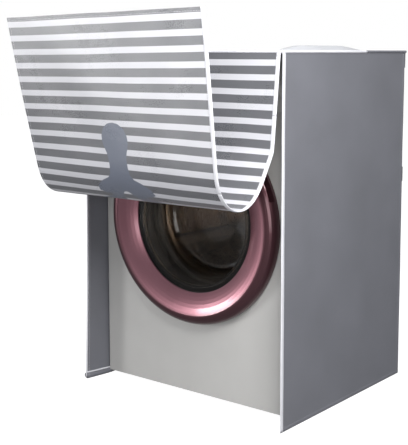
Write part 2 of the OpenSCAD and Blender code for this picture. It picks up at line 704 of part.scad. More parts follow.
module drum_wrapper() color(steel) in_frame()
    ring(drum_r - drum_t, drum_r, drum_y + 10, drum_back_y);

module drum_back() color(steel) in_frame() spin_profile([
    [0, drum_back_y - 14], [70, drum_back_y - 14], [84, drum_back_y - 5], [drum_r - 30, drum_back_y - 5],
    [drum_r - drum_t, drum_back_y - drum_t], [drum_r - drum_t, drum_back_y],
    [drum_r - 30, drum_back_y - 5 + drum_t], [84, drum_back_y - 5 + drum_t], [70, drum_back_y - 14 + drum_t],
    [0, drum_back_y - 14 + drum_t]]);

// One lifter: a hollow wedge along the drum
lifter_len = drum_depth - 52;
module lifter_section(h, w, t) polygon([
    [-w / 2, 0], [-w * 0.30, h * 0.62], [-w * 0.17, h * 0.95], [-w * 0.08, h], [w * 0.08, h],
    [w * 0.17, h * 0.95], [w * 0.30, h * 0.62], [w / 2, 0], [w / 2 - t * 1.6, 0], [w * 0.30 - t * 1.4, h * 0.62 - t * 0.4],
    [w * 0.10, h - t], [-w * 0.10, h - t], [-w * 0.30 + t * 1.4, h * 0.62 - t * 0.4], [-w / 2 + t * 1.6, 0]]);
module drum_lifters() color("#6d7276") in_frame() for (k = [0 : 2])
    translate([0, drum_y + 24, door_z]) rotate([0, 90 - drum_angle(k), 0])
        translate([0, lifter_len, drum_r - drum_t - sagitta(lifter_w / 2) - 0.05]) rotate([90, 0, 0])
            mirror([0, 1, 0]) {
                linear_extrude(lifter_len) lifter_section(lifter_h, lifter_w, 3);
                for (y = [0, lifter_len - 3])
                    translate([0, 0, y]) linear_extrude(3)
                        polygon([[-lifter_w / 2 + 2, 0], [-lifter_w * 0.3, lifter_h * 0.6],
                            [lifter_w * 0.3, lifter_h * 0.6], [lifter_w / 2 - 2, 0]]);
            }
function sagitta(c) = drum_r - drum_t - sqrt(pow(drum_r - drum_t, 2) - c * c);

spider_arm_w = 34;
module drum_spider() color("#a7abb0") in_frame() {
    difference() {
        union() {
            rod_y(0, door_z, 40, drum_back_y - 14 + drum_t, drum_back_y + 6);
            for (k = [0 : 2]) translate([0, 0, door_z]) rotate([0, 90 - drum_angle(k) + 60, 0])
                translate([-spider_arm_w / 2, drum_back_y, 30]) cube([spider_arm_w, 7, drum_r - 30]);
        }
        // lightening pockets in the arms
        for (k = [0 : 2]) translate([0, 0, door_z]) rotate([0, 90 - drum_angle(k) + 60, 0])
            translate([-spider_arm_w / 2 + 6, drum_back_y + 3, 62]) cube([spider_arm_w - 12, 7, drum_r - 100]);
    }
    // shaft
    rod_y(0, door_z, shaft_r, drum_back_y + 6, pulley_y + pulley_w + 4);
}

bearing_y0 = tub_back_y + 4;
bearing_y1 = tub_back_y + tub_t + hub_len - bearing_w;
module tub_hub_bore(r) rod_y(0, door_z, r, tub_back_y - 6, tub_back_y + tub_t + hub_len + 5);

module tub_front() color("#c3c7c9") in_frame() difference() {
    union() {
        spin_profile([[tub_open_r, tub_front_y - collar_d], [collar_r, tub_front_y - collar_d],
            [collar_r, tub_front_y], [tub_r + tub_t, tub_front_y], [tub_r + tub_t, tub_split_y - 6],
            [tub_r + tub_t + flange_h, tub_split_y - 6], [tub_r + tub_t + flange_h, tub_split_y],
            [tub_open_r, tub_split_y]]);
        // stiffening hoop
        ring(tub_r, tub_r + tub_t + 5, tub_front_y + 12, tub_front_y + 15);
        // spigots for the dispenser hose and the sump hose
        translate([drawer_x, hose_y, door_z]) cylinder(r = hose_bore_r - seat_gap, h = hose_spigot_top - door_z);
        translate([0, pump_y, sump_spigot_z]) cylinder(r = sump_bore_r - seat_gap, h = 60);
    }
    rod_y(0, door_z, tub_r, tub_front_y + tub_t, tub_split_y + 1);
    translate([drawer_x, hose_y, door_z]) cylinder(r = hose_bore_r - 4, h = hose_spigot_top - door_z + 1);
    translate([0, pump_y, sump_spigot_z - 1]) cylinder(r = sump_bore_r - 4, h = 100);
}

module tub_rear() color("#b9bec1") in_frame() difference() {
    union() {
        rod_y(0, door_z, tub_r + tub_t, tub_split_y, tub_back_y + tub_t);
        rod_y(0, door_z, tub_r + tub_t + flange_h, tub_split_y, tub_split_y + 6);
        rod_y(0, door_z, hub_r, tub_back_y, tub_back_y + tub_t + hub_len);
        // radial ribs
        for (k = [0 : 11]) translate([0, 0, door_z]) rotate([0, k * 30 + 15, 0])
            translate([hub_r - 4, tub_back_y + 1, -1.5]) cube([tub_r - hub_r, tub_t + 11, 3]);
        // motor lugs
        for (x = [motor_x - 30, motor_x + 30])
            translate([x - 9, motor_y + 20, motor_z + motor_r - 12])
                cube([18, motor_len - 60, door_z - tub_r - motor_z - motor_r + 46]);
        // spring lugs
        for (s = [-1, 1]) translate([s * (spring_x - 18) - 26, spring_y - 8, spring_low_z - 14])
            cube([52, 16, 14]);
        // damper clevises
        for (s = [-1, 1]) translate([s * damper_top_x - 9, damper_y - damper_ear, damper_top_z - 10])
            cube([18, 2 * damper_ear, 56]);
    }
    rod_y(0, door_z, tub_r, tub_split_y - 1, tub_back_y);
    rod_y(0, door_z, shaft_r + 4, tub_back_y - 6, tub_back_y + tub_t + hub_len + 5);
    rod_y(0, door_z, bearing_or, tub_back_y - 5, bearing_y0 + bearing_w);
    rod_y(0, door_z, bearing_or, bearing_y1, tub_back_y + tub_t + hub_len + 1);
    // slot for the heater, closed by its flange
    plate(0, heater_z, 2 * heater_x + 12, 10, 4.9, tub_back_y - 1, tub_back_y + tub_t + 1);
    for (s = [-1, 1]) {
        // eyes and wire holes for the springs
        rod_y(s * spring_x, spring_low_z - 7, 4, spring_y - 20, spring_y + 20);
        translate([s * spring_x, spring_y, spring_low_z - 7]) cylinder(r = wire_r + 0.5, h = 20);
        // damper pins and the gap between their ears
        rod_y(s * damper_top_x, damper_top_z, damper_pin_r, damper_y - 40, damper_y + 40);
        translate([s * damper_top_x - 20, damper_y - damper_ear + 4, damper_top_z - 20])
            cube([40, 2 * damper_ear - 8, 32]);
    }
}

// Two roller bearings and the lip seal in front of them
roller_r = (bearing_or - shaft_r - 10) / 2 + 0.3;
module drum_bearings() color("#c8ccd0") in_frame() {
    for (y = [bearing_y0, bearing_y1]) {
        ring(bearing_or - 5, bearing_or, y, y + bearing_w);
        ring(shaft_r + running_gap, shaft_r + 5, y, y + bearing_w);
        for (k = [0 : 11]) translate([0, 0, door_z]) rotate([0, k * 30, 0])
            rod_y((bearing_or + shaft_r) / 2, 0, roller_r, y + 1, y + bearing_w - 1);
    }
    ring(shaft_r + seat_gap, bearing_or, bearing_y0 - 6, bearing_y0 - 0.2);
}

module drum_pulley() color("#8b9096") in_frame() difference() {
    union() {
        ring(pulley_r - 7, pulley_r, pulley_y, pulley_y + pulley_w);
        ring(pulley_r, pulley_r + 4, pulley_y - 2, pulley_y);
        ring(pulley_r, pulley_r + 4, pulley_y + pulley_w, pulley_y + pulley_w + 2);
        ring(pulley_r - 7, pulley_r + eps, pulley_y - 2, pulley_y + eps);
        ring(pulley_r - 7, pulley_r + eps, pulley_y + pulley_w - eps, pulley_y + pulley_w + 2);
        ring(shaft_r, 32, pulley_y - 3, pulley_y + pulley_w + 3);
        for (k = [0 : 5]) translate([0, 0, door_z]) rotate([0, k * 60, 0])
            translate([28, pulley_y + 3, -9]) cube([pulley_r - 32, 7, 18]);
    }
    rod_y(0, door_z, shaft_r, pulley_y - 10, pulley_y + pulley_w + 10);
}

// Belt round the two pulleys: two arcs joined by their outer tangents
belt_vec = [motor_x, motor_z - door_z];
belt_dir = atan2(belt_vec[1], belt_vec[0]);
belt_lean = acos((pulley_r - motor_pulley_r) / norm(belt_vec));
function arc_points(c, r, a0, a1, n) = [for (k = [0 : n]) let (a = a0 + (a1 - a0) * k / n) c + r * [cos(a), sin(a)]];
function belt_loop(grow) = concat(
    arc_points([0, 0], pulley_r + grow, belt_dir + belt_lean, belt_dir + 360 - belt_lean, 48),
    arc_points(belt_vec, motor_pulley_r + grow, belt_dir - belt_lean, belt_dir + belt_lean, 12));
module drive_belt() color("#1d1d1d") in_frame()
    translate([0, pulley_y + pulley_w - 1, door_z]) rotate([90, 0, 0]) linear_extrude(pulley_w - 2)
        difference() {
            polygon(belt_loop(seat_gap + 0.4 + belt_t));
            polygon(belt_loop(seat_gap + 0.4));
        }

module drive_motor() color("#6a6f76") in_frame() difference() {
    union() {
        rod_y(motor_x, motor_z, motor_r, motor_y + 14, motor_y + motor_len - 14);
        rod_y(motor_x, motor_z, motor_r - 8, motor_y, motor_y + motor_len);
        // cooling fins
        for (k = [0 : 8]) rod_y(motor_x, motor_z, motor_r + 2, motor_y + 24 + k * 11, motor_y + 29 + k * 11);
    }
    for (x = [motor_x - 30, motor_x + 30])
        translate([x - 9.2, motor_y + 18, motor_z + motor_r - 12.2]) cube([18.4, motor_len - 56, 30]);
    rod_y(motor_x, motor_z, 6 + running_gap, motor_y - 1, motor_y + motor_len + 1);
}

module motor_pulley() color("#9aa0a6") in_frame() {
    rod_y(motor_x, motor_z, 6, motor_y + 10, pulley_y - 2);
    rod_y(motor_x, motor_z, motor_pulley_r, pulley_y - 2, pulley_y + pulley_w + 2);
}

// Immersion heater: a hairpin tube under the drum, held in the tub's back wall
heater_z = door_z - drum_r - tub_gap / 2 + 1;
heater_x = 22;
heater_rod_r = 2.6;
heater_y = tub_split_y + 30;
module heater() color("#8e8f92") in_frame() {
    for (x = [-heater_x, heater_x]) rod_y(x, heater_z, heater_rod_r, heater_y, tub_back_y + tub_t + 12);
    translate([0, heater_y, heater_z]) rotate([0, 0, 180])
        rotate_extrude(angle = 180) translate([heater_x, 0]) circle(heater_rod_r);
    plate(0, heater_z, 2 * heater_x + 22, 18, 8, tub_back_y + tub_t, tub_back_y + tub_t + 8);
}

// Concrete blocks: a saddle on the tub's crown and a crescent on its front
saddle_w = 220;
saddle_d = 130;
saddle_h = 62;
module counterweights() color("#8f9194") in_frame() {
    difference() {
        translate([-saddle_w / 2, tub_split_y - 60, door_z + tub_r - 26]) cube([saddle_w, saddle_d, saddle_h]);
        rod_y(0, door_z, tub_r + tub_t + flange_h + seat_gap, tub_split_y - 80, tub_split_y + 90);
    }
    difference() {
        ring(grip_r + 14, tub_r, tub_front_y - 26, tub_front_y);
        translate([-half_w, tub_front_y - 40, door_z - 20]) cube([cabinet_w, 60, half_w]);
    }
}

// ---- Suspension ----

spring_x = half_w - 24;
spring_y = tub_split_y + 46;
spring_low_z = door_z + 104;
spring_high_z = worktop_z - 40;
coil_r = 11;
wire_r = 2;
coil_turns = 9;
coil_low = spring_low_z + 24;
coil_high = spring_high_z - 24;
steps_per_turn = 12;
// Wire path from the lower eye up through the coil to the upper eye
function coil_point(i, n) = let (u = i / n, a = u * coil_turns * 360,
    fade = min(1, min(u, 1 - u) * coil_turns * 1.5))
    [coil_r * fade * cos(a), coil_r * fade * sin(a), coil_low + u * (coil_high - coil_low)];
spring_path = concat([[0, 0, spring_low_z - 7]],
    [for (i = [0 : coil_turns * steps_per_turn]) coil_point(i, coil_turns * steps_per_turn)],
    [[0, 0, spring_high_z + 7]]);

// Sweeps a tube of flat-sided section along points
module tube_along(points, r, sides) {
    n = len(points);
    rings = [for (i = [0 : n - 1])
        let (d = unit(points[min(i + 1, n - 1)] - points[max(i - 1, 0)]),
            side = unit(cross(d, abs(d[2]) > 0.9 ? [0, 1, 0] : [0, 0, 1])), up = cross(side, d))
        for (k = [0 : sides - 1]) points[i] + r * (cos(k * 360 / sides) * side + sin(k * 360 / sides) * up)];
    walls = [for (i = [0 : n - 2], k = [0 : sides - 1])
        [i * sides + k, i * sides + (k + 1) % sides, (i + 1) * sides + (k + 1) % sides, (i + 1) * sides + k]];
    polyhedron(rings, concat(walls, [[for (k = [sides - 1 : -1 : 0]) k]],
        [[for (k = [0 : sides - 1]) (n - 1) * sides + k]]));
}

module suspension_springs() color("#5d6165") in_frame() for (s = [-1, 1]) {
    translate([s * spring_x, spring_y, 0]) tube_along(spring_path, wire_r, 6);
    // bracket on the side sheet that carries the upper eye
    translate([s * (spring_x + 2) - 20, spring_y - 18, spring_high_z + 7 - eps]) cube([40, 36, 3]);
    translate([s * (half_w - sheet_t - 1.5) - 1.5, spring_y - 18, spring_high_z + 7]) cube([3, 36, 26]);
}

damper_y = tub_split_y + 60;
damper_top_x = 178;
damper_top_z = door_z - 208;
damper_foot_x = 226;
damper_foot_z = foot_gap + tray_h + 8;
damper_pin_r = 5;
damper_ear = 13;
damper_vec = [damper_foot_x - damper_top_x, damper_foot_z - damper_top_z];
damper_len = norm(damper_vec);
module dampers() color("#3d4246") in_frame() for (s = [-1, 1])
    translate([s * damper_top_x, damper_y, damper_top_z])
        rotate([0, s * atan2(damper_vec[0], damper_vec[1]), 0]) {
            // pin, eye and piston rod
            rotate([90, 0, 0]) cylinder(r = damper_pin_r - running_gap, h = 2 * damper_ear + 6, center = true);
            rotate([90, 0, 0]) cylinder(r = 8.5, h = 2 * damper_ear - 10, center = true);
            cylinder(r = 6, h = damper_len * 0.55);
            // cylinder and its foot
            translate([0, 0, damper_len * 0.4]) difference() {
                cylinder(r = 14, h = damper_len * 0.6 - 6);
                translate([0, 0, -1]) cylinder(r = 6 + seat_gap, h = damper_len * 0.6 - 12);
            }
            translate([0, 0, damper_len]) rotate([90, 0, 0]) cylinder(r = 8, h = 24, center = true);
        }

// ---- Water ----

module drain_pump() color("#b8bcbe") in_frame() difference() {
    translate([0, pump_y, pump_z]) {
        cylinder(r = 38, h = pump_h);
        // inlet that the sump hose slips over
        translate([0, 0, pump_h - 1]) cylinder(r = sump_bore_r - seat_gap, h = 37);
        // pump motor
        translate([0, 0, 22]) rotate([-90, 0, 0]) cylinder(r = 25, h = 96);
        // outlet stub
        translate([-62, 0, drain_z - pump_z]) rotate([0, 90, 0]) cylinder(r = drain_r, h = 30);
    }
    translate([0, pump_y, pump_z + 12]) cylinder(r = sump_bore_r - 4, h = 200);
}

elbow_r = 30;
module drain_pipe() color("#7d8286") in_frame() {
    translate([drain_x + elbow_r, pump_y, drain_z]) rotate([0, 90, 0])
        cylinder(r = drain_r, h = -62 - drain_x - elbow_r);
    translate([drain_x + elbow_r, pump_y + elbow_r, drain_z]) rotate([0, 0, 180])
        rotate_extrude(angle = 90) translate([elbow_r, 0]) circle(drain_r);
    rod_y(drain_x, drain_z, drain_r, pump_y + elbow_r, cabinet_d - sheet_t);
    rod_y(drain_x, drain_z, spigot_r, cabinet_d - sheet_t - 1, drain_end);
    rod_y(drain_x, drain_z, spigot_r + spigot_room + 2, cabinet_d - sheet_t - 5, cabinet_d - sheet_t);
}

// ---- Dust cover ----

// Each sheet ends at the piping round its edges
module cover_top() color(cloth_grey) in_frame()
    translate([-side_mid + binding_r, -cover_reach + binding_r, top_in])
        cube([2 * (side_mid - binding_r), cover_reach + cover_back_y - binding_r, cloth_t]);

module side_panel(s) translate([s > 0 ? side_in : -side_out, -cover_reach + binding_r, cover_floor_gap])
    cube([cloth_t, cover_reach + cover_back_y - binding_r, pipe_z - binding_r - cover_floor_gap]);

module cover_right_panel() color(cloth_grey) in_frame() side_panel(1);

// The left panel's foot is rolled inwards into a hem ahead of the cabinet
hem_r = 4;
module cover_left_panel() color(cloth_grey) in_frame() {
    side_panel(-1);
    translate([-side_in + hem_r - 0.5, -cover_reach + binding_r, cover_floor_gap + hem_r])
        rotate([-90, 0, 0]) cylinder(r = hem_r, h = cover_reach - binding_r - 4);
}

// Back hem under the top, and two webbing straps that close the back
strap_h = 38;
strap_levels = [210, 520];
module cover_back_straps() color("#6f7074") in_frame() {
    translate([-side_mid + binding_r, cover_back_y - cloth_t, top_in - back_hem_h])
        cube([2 * (side_mid - binding_r), cloth_t, back_hem_h]);
    for (z = strap_levels) {
        translate([-side_in, cover_back_y - cloth_t, z]) cube([2 * side_in, cloth_t, strap_h]);
        // hook-and-loop overlap at the middle of each strap
        translate([-45, cover_back_y, z + 2]) cube([90, cloth_t, strap_h - 4]);
    }
}

module cover_binding() color(binding_white) in_frame() {
    for (s = [-1, 1]) {
        // upright bindings on the front edges
        translate([s * side_mid, -cover_reach, cover_floor_gap])
            cylinder(r = binding_r, h = pipe_z - cover_floor_gap);
        // piping along the side edges of the top
        translate([s * side_mid, -cover_reach, pipe_z]) rotate([-90, 0, 0])
            cylinder(r = binding_r, h = cover_reach + cover_back_y);
    }
    // seam bead that the flap hangs from
    rod_x(0, -cover_reach, pipe_z, binding_r, 2 * side_mid);
}

// ---- Front flap ----

// Strips of the flap: a thin ribbon from one fold line to the next, twisted between its two edges,
// with a stitched bead on its far edge, about which the next strip turns
first_gap = binding_r + seat_gap;
strip_gap = bead_r + seat_gap;
panels = 6;          // flat panels across the width of each strip
function flap_at(u, i) = (1 - u) * left_points[i] + u * right_points[i];
function way(u, i) = unit(flap_at(u, i + 1) - flap_at(u, i));
function way_at(u, i, first, last) = i == first ? way(u, i) : i == last ? way(u, i - 1)
    : unit(way(u, i - 1) + way(u, i));
function flap_x(u, i) = (u - 0.5) * flap_w - sway(i);

// The two faces' points at share u of the width, at stop i of a strip from stop first to stop last
function ribbon_pair(u, i, first, last, gap) = let (d = way_at(u, i, first, last), n = [-d[1], d[0]],
    p = flap_at(u, i) + (i == first ? gap : 0) * d)
    [for (s = [1, -1]) [flap_x(u, i), p[0] + s * flap_t / 2 * n[0], p[1] + s * flap_t / 2 * n[1]]];

module ribbon(first, last, gap) {
    stops = last - first + 1;
    points = [for (k = [0 : panels], i = [first : last]) each ribbon_pair(k / panels, i, first, last, gap)];
    function at(k, i, s) = (k * stops + i) * 2 + s;
    faces = concat(
        [for (k = [0 : panels - 1], i = [0 : stops - 2]) each [
            [at(k, i, 0), at(k, i + 1, 0), at(k + 1, i + 1, 0)], [at(k, i, 0), at(k + 1, i + 1, 0), at(k + 1, i, 0)],
            [at(k, i, 1), at(k + 1, i + 1, 1), at(k, i + 1, 1)], [at(k, i, 1), at(k + 1, i, 1), at(k + 1, i + 1, 1)]]],
        [for (k = [0 : panels - 1]) each [
            [at(k, 0, 0), at(k + 1, 0, 0), at(k + 1, 0, 1)], [at(k, 0, 0), at(k + 1, 0, 1), at(k, 0, 1)],
            [at(k, stops - 1, 0), at(k + 1, stops - 1, 1), at(k + 1, stops - 1, 0)],
            [at(k, stops - 1, 0), at(k, stops - 1, 1), at(k + 1, stops - 1, 1)]]],
        [for (i = [0 : stops - 2]) each [
            [at(0, i, 0), at(0, i, 1), at(0, i + 1, 1)], [at(0, i, 0), at(0, i + 1, 1), at(0, i + 1, 0)],
            [at(panels, i, 0), at(panels, i + 1, 1), at(panels, i, 1)],
            [at(panels, i, 0), at(panels, i + 1, 0), at(panels, i + 1, 1)]]]);
    polyhedron(points = points, faces = faces);
}

module flap_strip(first, last) color(stripe_grey) in_frame() {
    ribbon(first, last, first == 0 ? first_gap : strip_gap);
    a = [flap_x(0, last), left_points[last][0], left_points[last][1]];
    b = [flap_x(1, last), right_points[last][0], right_points[last][1]];
    line = b - a;
    translate(a) rotate([0, acos(line[2] / norm(line)), atan2(line[1], line[0])])
        cylinder(r = bead_r, h = norm(line));
}

cabinet_shell();
front_panel();
worktop();
base_tray();
levelling_feet();
back_service_panel();
control_fascia();
display_window();
control_board();
programme_knob();
power_button();
start_button();
option_button(0);  // option_button_1
option_button(1);  // option_button_2
drawer_housing();
detergent_drawer();
siphon_cap();
inlet_valve();
bellows_hoses();
door_ring();
door_frame();
door_glass();
door_grip();
door_hook();
hook_pin();
door_hinge_arm();
door_hinge_bracket();
door_hinge_pin();
door_lock();
door_gasket();
drum_front();
drum_wrapper();
drum_back();
drum_lifters();
drum_spider();
tub_front();
tub_rear();
drum_bearings();
drum_pulley();
drive_belt();
drive_motor();
motor_pulley();
heater();
counterweights();
suspension_springs();
dampers();
drain_pump();
drain_pipe();
cover_top();
cover_right_panel();
cover_left_panel();
cover_back_straps();
cover_binding();
flap_strip(0, 1);  // flap_seam_strip
flap_strip(1, 2);  // flap_upper
flap_strip(2, 3);  // flap_fold_1
flap_strip(3, 4);  // flap_fold_2
flap_strip(4, 5);  // flap_fold_3
flap_strip(5, 6);  // flap_fold_4
flap_strip(6, 8);  // flap_lower
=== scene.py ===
import json
import math

import bmesh
import bpy
import numpy as np
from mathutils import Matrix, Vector


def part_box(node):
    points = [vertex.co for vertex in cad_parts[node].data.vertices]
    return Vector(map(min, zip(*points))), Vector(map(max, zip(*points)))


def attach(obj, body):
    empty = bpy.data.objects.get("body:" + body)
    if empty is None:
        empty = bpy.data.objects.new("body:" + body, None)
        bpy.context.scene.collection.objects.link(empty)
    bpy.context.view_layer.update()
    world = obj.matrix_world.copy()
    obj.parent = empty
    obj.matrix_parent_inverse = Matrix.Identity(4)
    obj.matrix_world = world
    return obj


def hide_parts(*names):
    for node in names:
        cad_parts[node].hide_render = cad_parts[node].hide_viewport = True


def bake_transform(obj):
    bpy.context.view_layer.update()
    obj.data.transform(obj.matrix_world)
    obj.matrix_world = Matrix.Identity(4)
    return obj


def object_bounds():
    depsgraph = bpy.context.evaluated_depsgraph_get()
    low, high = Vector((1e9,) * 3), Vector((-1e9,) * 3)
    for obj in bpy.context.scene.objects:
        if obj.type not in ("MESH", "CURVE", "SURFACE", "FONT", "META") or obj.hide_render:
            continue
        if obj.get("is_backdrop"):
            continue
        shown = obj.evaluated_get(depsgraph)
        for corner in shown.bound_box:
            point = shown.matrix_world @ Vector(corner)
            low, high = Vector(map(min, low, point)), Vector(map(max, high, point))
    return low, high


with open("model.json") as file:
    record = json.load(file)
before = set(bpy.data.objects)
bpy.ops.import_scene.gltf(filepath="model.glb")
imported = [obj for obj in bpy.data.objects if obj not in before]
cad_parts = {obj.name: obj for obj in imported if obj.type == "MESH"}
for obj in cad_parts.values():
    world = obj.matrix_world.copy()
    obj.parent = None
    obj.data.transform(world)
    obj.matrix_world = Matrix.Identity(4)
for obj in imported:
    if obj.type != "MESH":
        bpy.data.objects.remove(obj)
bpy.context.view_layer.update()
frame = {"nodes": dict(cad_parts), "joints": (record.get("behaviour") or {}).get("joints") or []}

mm = 0.001

# ---- Camera -------------------------------------------------------------------------------------
# A crouching person's view of the machine from beyond its right front corner, at the height of the
# worktop and looking slightly down.
view_x, view_ahead, view_z = 1.5287, 1.7951, 0.8545
tilt_down, turned_left = 7.154, 38.829


def placed(name, data):
    """A new object in the scene, at the origin."""
    made = bpy.data.objects.new(name, data)
    bpy.context.scene.collection.objects.link(made)
    return made


camera = bpy.data.cameras.new("camera")
camera.lens = 80.71
camera.sensor_width = 36
camera.shift_y = -0.1
view_from = placed("camera", camera)
view_from.location = (view_x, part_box("cover_right_panel")[0].y - view_ahead, view_z)
view_from.rotation_euler = (math.radians(90 - tilt_down), 0, math.radians(turned_left))
bpy.context.scene.camera = view_from


# ---- Studio: floor, backdrop and lamps ----------------------------------------------------------
# A white surround that lights everything evenly, and four soft lamps: the key stands far out to the
# left, two fill in from the front and from above, and one stands close by the right front corner.
def add(tree, kind, sockets=None, **settings):
    """Adds one node; sockets gives its inputs by name or number, as values or as other nodes' outputs."""
    made = tree.nodes.new(kind)
    for key, value in settings.items():
        setattr(made, key, value)
    for key, value in (sockets or {}).items():
        if isinstance(value, bpy.types.NodeSocket):
            tree.links.new(value, made.inputs[key])
        else:
            made.inputs[key].default_value = value
    return made


def linear(code):
    """An sRGB hex colour as linear RGBA."""
    parts = [int(code[i:i + 2], 16) / 255 for i in (1, 3, 5)]
    return (*[c / 12.92 if c <= 0.04045 else ((c + 0.055) / 1.055) ** 2.4 for c in parts], 1)


def seen_directly(tree):
    """1 for what is seen straight or through glass, and 0 for the light on things and their reflections."""
    path = add(tree, "ShaderNodeLightPath")
    return add(tree, "ShaderNodeMath", {0: path.outputs["Is Camera Ray"], 1: path.outputs["Is Transmission Ray"]},
               operation="MAXIMUM").outputs[0]


world = bpy.data.worlds.new("surround")
bpy.context.scene.world = world
world.use_nodes = True
world.node_tree.nodes.clear()
shown = seen_directly(world.node_tree)
light = add(world.node_tree, "ShaderNodeBackground", {"Color": linear("#f4f6fb"), "Strength": 0.35})
white = add(world.node_tree, "ShaderNodeBackground", {"Color": (1, 1, 1, 1), "Strength": 1.0})
either = add(world.node_tree, "ShaderNodeMixShader", {0: shown, 1: light.outputs[0], 2: white.outputs[0]})
add(world.node_tree, "ShaderNodeOutputWorld", {"Surface": either.outputs[0]})

floor_half = 9
floor_mesh = bpy.data.meshes.new("floor")
floor_mesh.from_pydata([(x * floor_half, y * floor_half, 0) for x, y in ((-1, -1), (1, -1), (1, 1), (-1, 1))], [],
                       [(0, 1, 2, 3)])
floor = placed("floor", floor_mesh)
floor_paint = bpy.data.materials.new("floor_paint")
floor_paint.use_nodes = True
tree = floor_paint.node_tree
tree.nodes.clear()
shown = seen_directly(tree)
matt = add(tree, "ShaderNodeBsdfDiffuse", {"Color": linear("#8a8a8c")})
glow = add(tree, "ShaderNodeEmission", {"Color": (1, 1, 1, 1), "Strength": 1.0})
lit = add(tree, "ShaderNodeAddShader", {0: matt.outputs[0], 1: glow.outputs[0]})
both = add(tree, "ShaderNodeMixShader", {0: shown, 1: matt.outputs[0], 2: lit.outputs[0]})
add(tree, "ShaderNodeOutputMaterial", {"Surface": both.outputs[0]})
floor_mesh.materials.append(floor_paint)
floor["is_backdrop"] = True

for name, place, target, size, power in (
        ("key", (-2.45, -2.3, 0.6), (0, -0.3, 0.6), 0.8, 27),
        ("front", (1.7, -3.0, 0.7), (-0.1, -0.2, 0.5), 2.0, 34),
        ("top", (0.4, -0.8, 3.2), (0, 0, 0.5), 2.0, 30),
        ("side", (1.1, -0.85, 1.45), (0.3, -0.2, 0.7), 0.7, 25)):
    lamp = bpy.data.lights.new(name, "AREA")
    lamp.shape = "DISK"
    lamp.size = size
    lamp.energy = power
    stand = placed(name, lamp)
    stand.location = place
    stand.rotation_euler = (Vector(target) - Vector(place)).to_track_quat("-Z", "Y").to_euler()
    stand.visible_camera = False
bpy.context.scene.view_settings.view_transform = "Standard"


# ---- Cabinet ------------------------------------------------------------------------------------
# Pressed steel sheet, stove-enamelled light grey after pressing, so the skin has a faint orange
# peel and its gloss differs a little from patch to patch. The shell is folded and welded.
def material(name, **sockets):
    """A new material with one Principled shader, whose sockets are given by name."""
    made = bpy.data.materials.new(name)
    made.use_nodes = True
    made.node_tree.nodes.clear()
    shader = add(made.node_tree, "ShaderNodeBsdfPrincipled",
                 {key.replace("_", " "): value for key, value in sockets.items()})
    add(made.node_tree, "ShaderNodeOutputMaterial", {"Surface": shader.outputs[0]})
    return made, made.node_tree, shader


def place_mm(tree):
    """Where a point is on the object, in millimetres."""
    at = add(tree, "ShaderNodeTexCoord")
    return add(tree, "ShaderNodeVectorMath", {0: at.outputs["Object"], "Scale": 1000.0}, operation="SCALE").outputs[0]


def dress(finish, *nodes):
    """Gives each of these carried-over pieces the finish."""
    for name in nodes:
        slots = frame["nodes"][name].data.materials
        slots.clear()
        slots.append(finish)


def skinned(name, shades, patch_mm, grain_mm, depth_mm, rough, *nodes, **sockets):
    """A moulded, cast or painted finish on these pieces: patches of two close shades and glosses, and a fine grain."""
    made, tree, shader = material(name, **sockets)
    at = place_mm(tree)
    patch = add(tree, "ShaderNodeTexNoise", {"Vector": at, "Scale": 1 / patch_mm, "Detail": 3.0})
    colour = add(tree, "ShaderNodeMix", {0: patch.outputs["Fac"], 6: linear(shades[0]), 7: linear(shades[1])},
                 data_type="RGBA")
    tree.links.new(colour.outputs[2], shader.inputs["Base Color"])
    gloss = add(tree, "ShaderNodeMapRange", {0: patch.outputs["Fac"], 1: 0.3, 2: 0.7, 3: rough[0], 4: rough[1]})
    tree.links.new(gloss.outputs[0], shader.inputs["Roughness"])
    grain = add(tree, "ShaderNodeTexNoise", {"Vector": at, "Scale": 1 / grain_mm, "Detail": 2.0})
    relief = add(tree, "ShaderNodeBump", {"Strength": 1.0, "Distance": depth_mm * mm, "Height": grain.outputs["Fac"]})
    tree.links.new(relief.outputs[0], shader.inputs["Normal"])
    dress(made, *nodes)
    return made


skinned("stove_enamel", ("#bdbcb9", "#c6c5c2"), 90, 1.6, 0.05, (0.36, 0.44), "cabinet_shell", "front_panel",
        Specular_IOR_Level=0.5, Coat_Weight=0.15, Coat_Roughness=0.2)

# The tray under the machine and the service panel behind it are bare hot-dip zinc, which shows
# leafy spangle some ten millimetres across.
spangle_mm = 9.0
zinc, tree, shader = material("zinc_sheet", Metallic=1.0)
spangle = add(tree, "ShaderNodeTexVoronoi", {"Vector": place_mm(tree), "Scale": 1 / spangle_mm, "Randomness": 1.0})
shade = add(tree, "ShaderNodeMix", {0: spangle.outputs["Color"], 6: linear("#8b8f92"), 7: linear("#a6a9ab")},
            data_type="RGBA")
tree.links.new(shade.outputs[2], shader.inputs["Base Color"])
dull = add(tree, "ShaderNodeMapRange", {0: spangle.outputs["Color"], 3: 0.34, 4: 0.52})
tree.links.new(dull.outputs[0], shader.inputs["Roughness"])
dress(zinc, "base_tray", "back_service_panel")

# Eight self-tapping screws with a crossed recess, zinc-plated, hold the service panel round its edge.
screw_r = 4 * mm
screw_high = 2.6 * mm
recess_deep = 1.0 * mm
arm_share, corner_share = 0.8, 0.25


